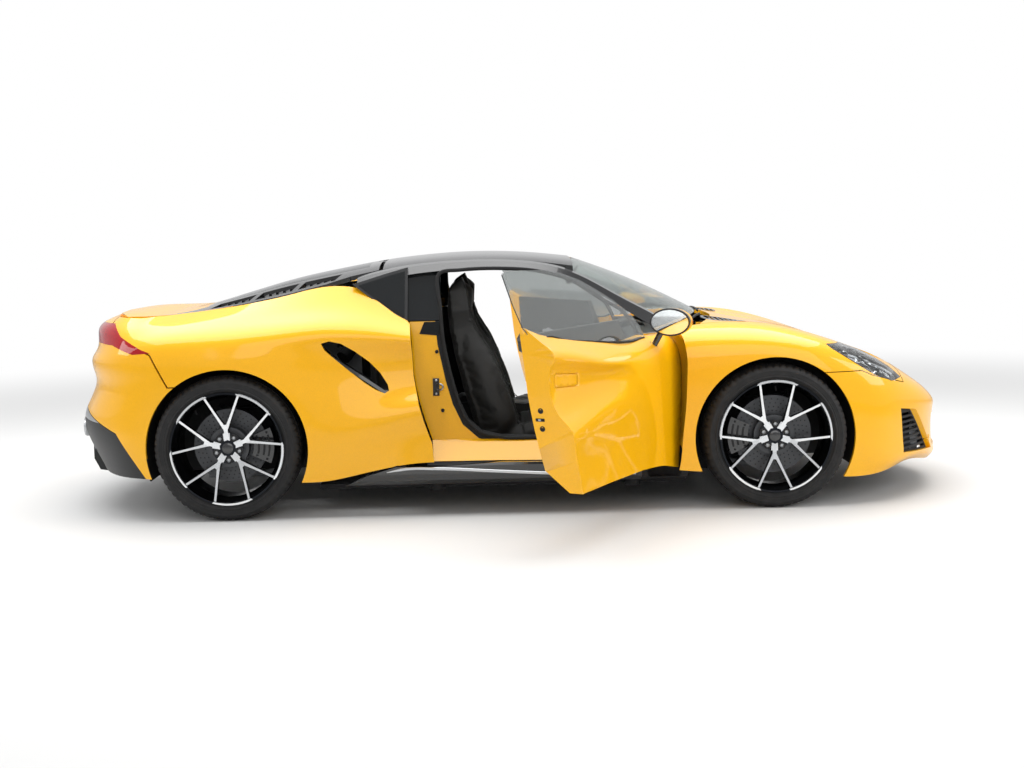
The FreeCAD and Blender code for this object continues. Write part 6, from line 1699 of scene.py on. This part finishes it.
def screen_frit():
    """Black ceramic border printed round the windscreen's inner face."""
    grid = steering_grid(both_halves(SCREEN_ROWS), list(range(7)), 40, 90, 3)
    grid = grid - grid_normals(grid, (0, 0, 1)) * FRIT_DEPTH * MM
    rows, columns = grid.shape[:2]
    faces = []
    for i in range(1, rows - 2):
        for j in range(1, columns - 2):
            if i < 4 or i >= rows - 3 or j < 3 or j >= columns - 4:
                a = i * columns + j
                faces.append((a, a + columns, a + columns + 1, a + 1))
    return grid.reshape(-1, 3), faces


def duct_wall():
    """Dark wall behind the left outer intake, a hand's breadth inside the nose's skin."""
    places = [(2200 - (y - 500) * 0.6, y, z)
              for y in np.linspace(535, 800, 14) for z in np.linspace(215, 420, 10)]
    return laid_on(WRAP_LEFT, places, -75), grid_faces(14, 10)


def engine_shapes():
    """Ribbed cover, inlet runners with their plenum, and hoses on top of the engine."""
    cover = [block((360, 360, 44), (-1040, 0, 780), 14), block((110, 600, 76), (-815, 0, 800), 22)]
    cover += [block((320, 10, 9), (-1040, y, 805), 3) for y in range(-135, 136, 45)]
    cap = lathed([(0.1, 18), (22, 18), (26, 14), (26, 0)], 24)
    cover.append(moved(cap, at(-1235, 110, 762) @ rotation(90, "X")))
    runners, hoses = [], []
    for side in (-1, 1):
        runners.append(block((330, 54, 30), (-1040, side * 322, 772), 6))
        for x in (-940, -1040, -1140):
            bend = [(x, side * 172, 790), (x, side * 226, 822), (x, side * 286, 818), (x, side * 322, 780)]
            runners.append(swept(smooth_path(bend, 9), ring(25, 18), up=(1, 0, 0)))
        inlet = [(-800, side * 290, 800), (-790, side * 360, 798), (-800, side * 430, 770),
                 (-840, side * 480, 720)]
        hoses.append(swept(smooth_path(inlet, 12), ring(36, 20), up=(1, 0, 0)))
        coolant = [(-1250, side * 250, 764), (-1290, side * 270, 780), (-1322, side * 280, 730),
                   (-1326, side * 280, 600)]
        hoses.append(swept(smooth_path(coolant, 10), ring(15, 12), up=(0, 1, 0)))
    return merged(cover), merged(runners), merged(hoses)


class COUPE_OT_trim(bpy.types.Operator):
    """Strips, louvres, intakes, vents, engine top, wipers and exhaust tips"""
    bl_idname = "coupe.trim"
    bl_label = "Outer trim"

    def execute(self, context):
        on_both_sides("skirt_strip", skirt_strip(), "satin_silver")
        on_both_sides("louvre_blades", louvre_blades(), "satin", "tailgate")
        on_both_sides("intake_duct", duct_wall(), "matt")
        cover, runners, hoses = engine_shapes()
        pieces_of("engine_cover", cover, "satin", "body")
        pieces_of("engine_runners", runners, "alloy", "body")
        pieces_of("engine_hoses", hoses, "rubber_seal", "body")
        lip, tube = exhaust_trim()
        on_both_sides("exhaust_lip", lip, "chrome")
        on_both_sides("exhaust_tube", tube, "iron")
        pieces_of("screen_frit", screen_frit(), "satin", "body")
        left = wiper((1000, 330, 842), (985, 180, 862), (958, 20, 884),
                     [(968, 300, 884), (962, 120, 900), (958, -60, 905), (950, -240, 902)])
        right = wiper((990, -300, 842), (965, -420, 856), (925, -520, 868),
                      [(948, -330, 890), (915, -450, 892), (880, -560, 884)])
        pieces_of("wipers", merged([left, right]), "satin", "body")
        on_both_sides("vent_rim", vent_rim(), "gloss")
        for side in ("left", "right"):
            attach(bpy.data.objects["vent_rim_" + side], "bonnet")
        self.finish_parts()
        return {"FINISHED"}

    def finish_parts(self):
        """Satin band over the diffuser, steel tail pipes, black patch round the bonnet's vent."""
        mesh = bpy.data.objects["diffuser_skin"].data
        middles, normals = face_places(mesh)
        x, y, z = (middles / MM).T
        _, outward, reach = WRAP_BOTH.nearest(middles)
        on_skin = (reach < 0.002) & ((normals * outward).sum(1) > 0.5)
        finish_where(mesh, "satin_silver", on_skin & (z > BAND_FOOT))
        bonnet = bpy.data.objects["bonnet_skin"].data
        places = face_places(bonnet)[0] / MM
        finish_where(bonnet, "gloss", within(VENT_OUTLINE, places[:, 0], np.abs(places[:, 1])))
        round_pipe = np.hypot(np.abs(y) - PIPE_Y, z - PIPE_Z) < 52
        finish_where(mesh, "steel", round_pipe & (x < -1985))


# Studio

CAMERA_PLACE = Vector((-0.0914, -7.7664, 1.3407))
CAMERA_YAW = math.radians(-0.654)
CAMERA_PITCH = math.radians(6.035)
CAMERA_ROLL = math.radians(-1.241)
CAMERA_LENS = 51.89
FLOOR_RADIUS = 60.0
FADE_START = 3.4
FADE_END = 9.0


def camera_matrix():
    ahead = Vector((-math.sin(CAMERA_YAW) * math.cos(CAMERA_PITCH),
                    math.cos(CAMERA_YAW) * math.cos(CAMERA_PITCH), -math.sin(CAMERA_PITCH)))
    right = Vector((math.cos(CAMERA_YAW), math.sin(CAMERA_YAW), 0))
    up = right.cross(ahead)
    right_rolled = right * math.cos(CAMERA_ROLL) + up * math.sin(CAMERA_ROLL)
    up_rolled = up * math.cos(CAMERA_ROLL) - right * math.sin(CAMERA_ROLL)
    turn = Matrix((right_rolled, up_rolled, -ahead)).transposed()
    return Matrix.Translation(CAMERA_PLACE) @ turn.to_4x4()


def add_lamp(name, place, target, size, watts):
    data = bpy.data.lights.new(name, "AREA")
    data.shape = "RECTANGLE"
    data.size, data.size_y = size
    data.energy = watts
    lamp = bpy.data.objects.new(name, data)
    bpy.context.scene.collection.objects.link(lamp)
    lamp.location = place
    lamp.rotation_mode = "QUATERNION"
    lamp.rotation_quaternion = (Vector(target) - Vector(place)).to_track_quat("-Z", "Y")


class COUPE_OT_stage(bpy.types.Operator):
    """Floor, lamps, white background and the camera"""
    bl_idname = "coupe.stage"
    bl_label = "Studio and camera"

    def execute(self, context):
        data = bpy.data.cameras.new("camera")
        data.lens = CAMERA_LENS
        data.sensor_width = 36.0
        data.clip_start = 0.1
        data.clip_end = 200.0
        camera = bpy.data.objects.new("camera", data)
        context.scene.collection.objects.link(camera)
        camera.matrix_world = camera_matrix()
        context.scene.camera = camera

        bm = bmesh.new()
        bmesh.ops.create_circle(bm, cap_ends=True, radius=FLOOR_RADIUS, segments=96)
        mesh = bpy.data.meshes.new("studio_floor")
        bm.to_mesh(mesh)
        bm.free()
        floor = object_from("studio_floor", mesh)
        material, tree, shader, place = new_material("painted_studio_floor")
        set_sockets(shader, Base_Color=linear("#D5D5D4"), Roughness=0.6)
        # Past the lamps' reach the floor fades into the white background for the camera alone
        reach = add_node(tree, "ShaderNodeVectorMath", {}, {0: place}, {"operation": "LENGTH"})
        fade = add_node(tree, "ShaderNodeMapRange", {"From Min": FADE_START, "From Max": FADE_END},
                        {"Value": reach.outputs["Value"]}, {"interpolation_type": "SMOOTHSTEP"})
        ray = add_node(tree, "ShaderNodeLightPath")
        share = add_node(tree, "ShaderNodeMath", {}, {0: fade.outputs["Result"],
                                                      1: ray.outputs["Is Camera Ray"]},
                         {"operation": "MULTIPLY"})
        glow = add_node(tree, "ShaderNodeEmission", {"Color": linear("#FFFFFF"), "Strength": 1.0})
        blend = add_node(tree, "ShaderNodeMixShader", {}, {"Fac": share.outputs["Value"],
                                                           1: shader.outputs["BSDF"],
                                                           2: glow.outputs["Emission"]})
        tree.links.new(blend.outputs["Shader"], tree.nodes["Material Output"].inputs["Surface"])
        mesh.materials.append(material)

        world = bpy.data.worlds.new("studio")
        context.scene.world = world
        world.use_nodes = True
        tree = world.node_tree
        output = tree.nodes["World Output"]
        soft = add_node(tree, "ShaderNodeBackground", {"Color": linear("#F3F4F6"), "Strength": 0.5})
        white = add_node(tree, "ShaderNodeBackground", {"Color": linear("#FFFFFF"), "Strength": 1.0})
        ray = add_node(tree, "ShaderNodeLightPath")
        seen = add_node(tree, "ShaderNodeMath", {}, {0: ray.outputs["Is Camera Ray"],
                                                     1: ray.outputs["Is Transmission Ray"]},
                        {"operation": "MAXIMUM"})
        glossy = add_node(tree, "ShaderNodeMath", {1: 0.35}, {0: ray.outputs["Is Glossy Ray"]},
                          {"operation": "MULTIPLY"})
        both = add_node(tree, "ShaderNodeMath", {}, {0: seen.outputs[0], 1: glossy.outputs[0]},
                        {"operation": "MAXIMUM"})
        mix = add_node(tree, "ShaderNodeMixShader", {}, {"Fac": both.outputs[0], 1: soft.outputs[0],
                                                         2: white.outputs[0]})
        tree.links.new(mix.outputs[0], output.inputs["Surface"])

        add_lamp("overhead_softbox", (0, 0.4, 4.6), (0, 0, 0.4), (8.5, 5.5), 520)
        add_lamp("side_softbox", (1.5, -6.5, 3.4), (0, 0, 0.6), (8.0, 3.5), 130)
        add_lamp("nose_softbox", (6.5, -2.0, 3.0), (1.2, 0, 0.5), (3.0, 2.4), 90)
        add_lamp("tail_softbox", (-6.5, -1.0, 3.2), (-1.5, 0, 0.6), (3.0, 2.4), 90)
        context.scene.view_settings.view_transform = "Standard"
        return {"FINISHED"}


# Settings, panel and start

class CoupeSettings(bpy.types.PropertyGroup):
    paint: bpy.props.FloatVectorProperty(name="Paint", description="Colour of the painted panels",
                                         subtype="COLOR", size=4, min=0, max=1, default=linear("#F4B200"))
    wheels: bpy.props.FloatVectorProperty(name="Wheels", description="Colour of the rims behind bright faces",
                                          subtype="COLOR", size=4, min=0, max=1, default=linear("#26282C"))
    swell: bpy.props.FloatProperty(name="Seat swell", description="Furthest the padding swells",
                                   subtype="DISTANCE", unit="LENGTH", min=0, max=0.03, default=0.022)
    skin_edge: bpy.props.FloatProperty(name="Skin edge", description="Longest edge of the divided panels",
                                       subtype="DISTANCE", unit="LENGTH", min=0.01, max=0.1, default=0.024)


class COUPE_PT_panel(bpy.types.Panel):
    """Lists the steps that dress the coupe"""
    bl_idname = "COUPE_PT_panel"
    bl_label = "Coupe"
    bl_space_type = "VIEW_3D"
    bl_region_type = "UI"
    bl_category = "Coupe"

    def draw(self, context):
        for name in ("paint", "wheels", "swell", "skin_edge"):
            self.layout.prop(context.scene.coupe, name)
        for step in STEPS:
            self.layout.operator(step.bl_idname)


STEPS = [COUPE_OT_stage, COUPE_OT_finishes, COUPE_OT_panels, COUPE_OT_wheels, COUPE_OT_seats, COUPE_OT_cabin,
         COUPE_OT_doors, COUPE_OT_lamps, COUPE_OT_trim]
CLASSES = [CoupeSettings, *STEPS, COUPE_PT_panel]


def register():
    for item in CLASSES:
        bpy.utils.register_class(item)
    bpy.types.Scene.coupe = bpy.props.PointerProperty(type=CoupeSettings)


def unregister():
    del bpy.types.Scene.coupe
    for item in reversed(CLASSES):
        bpy.utils.unregister_class(item)


def main():
    register()
    for step in STEPS:
        group, name = step.bl_idname.split(".")
        getattr(getattr(bpy.ops, group), name)()
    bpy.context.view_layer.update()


if __name__ == "__main__":
    main()
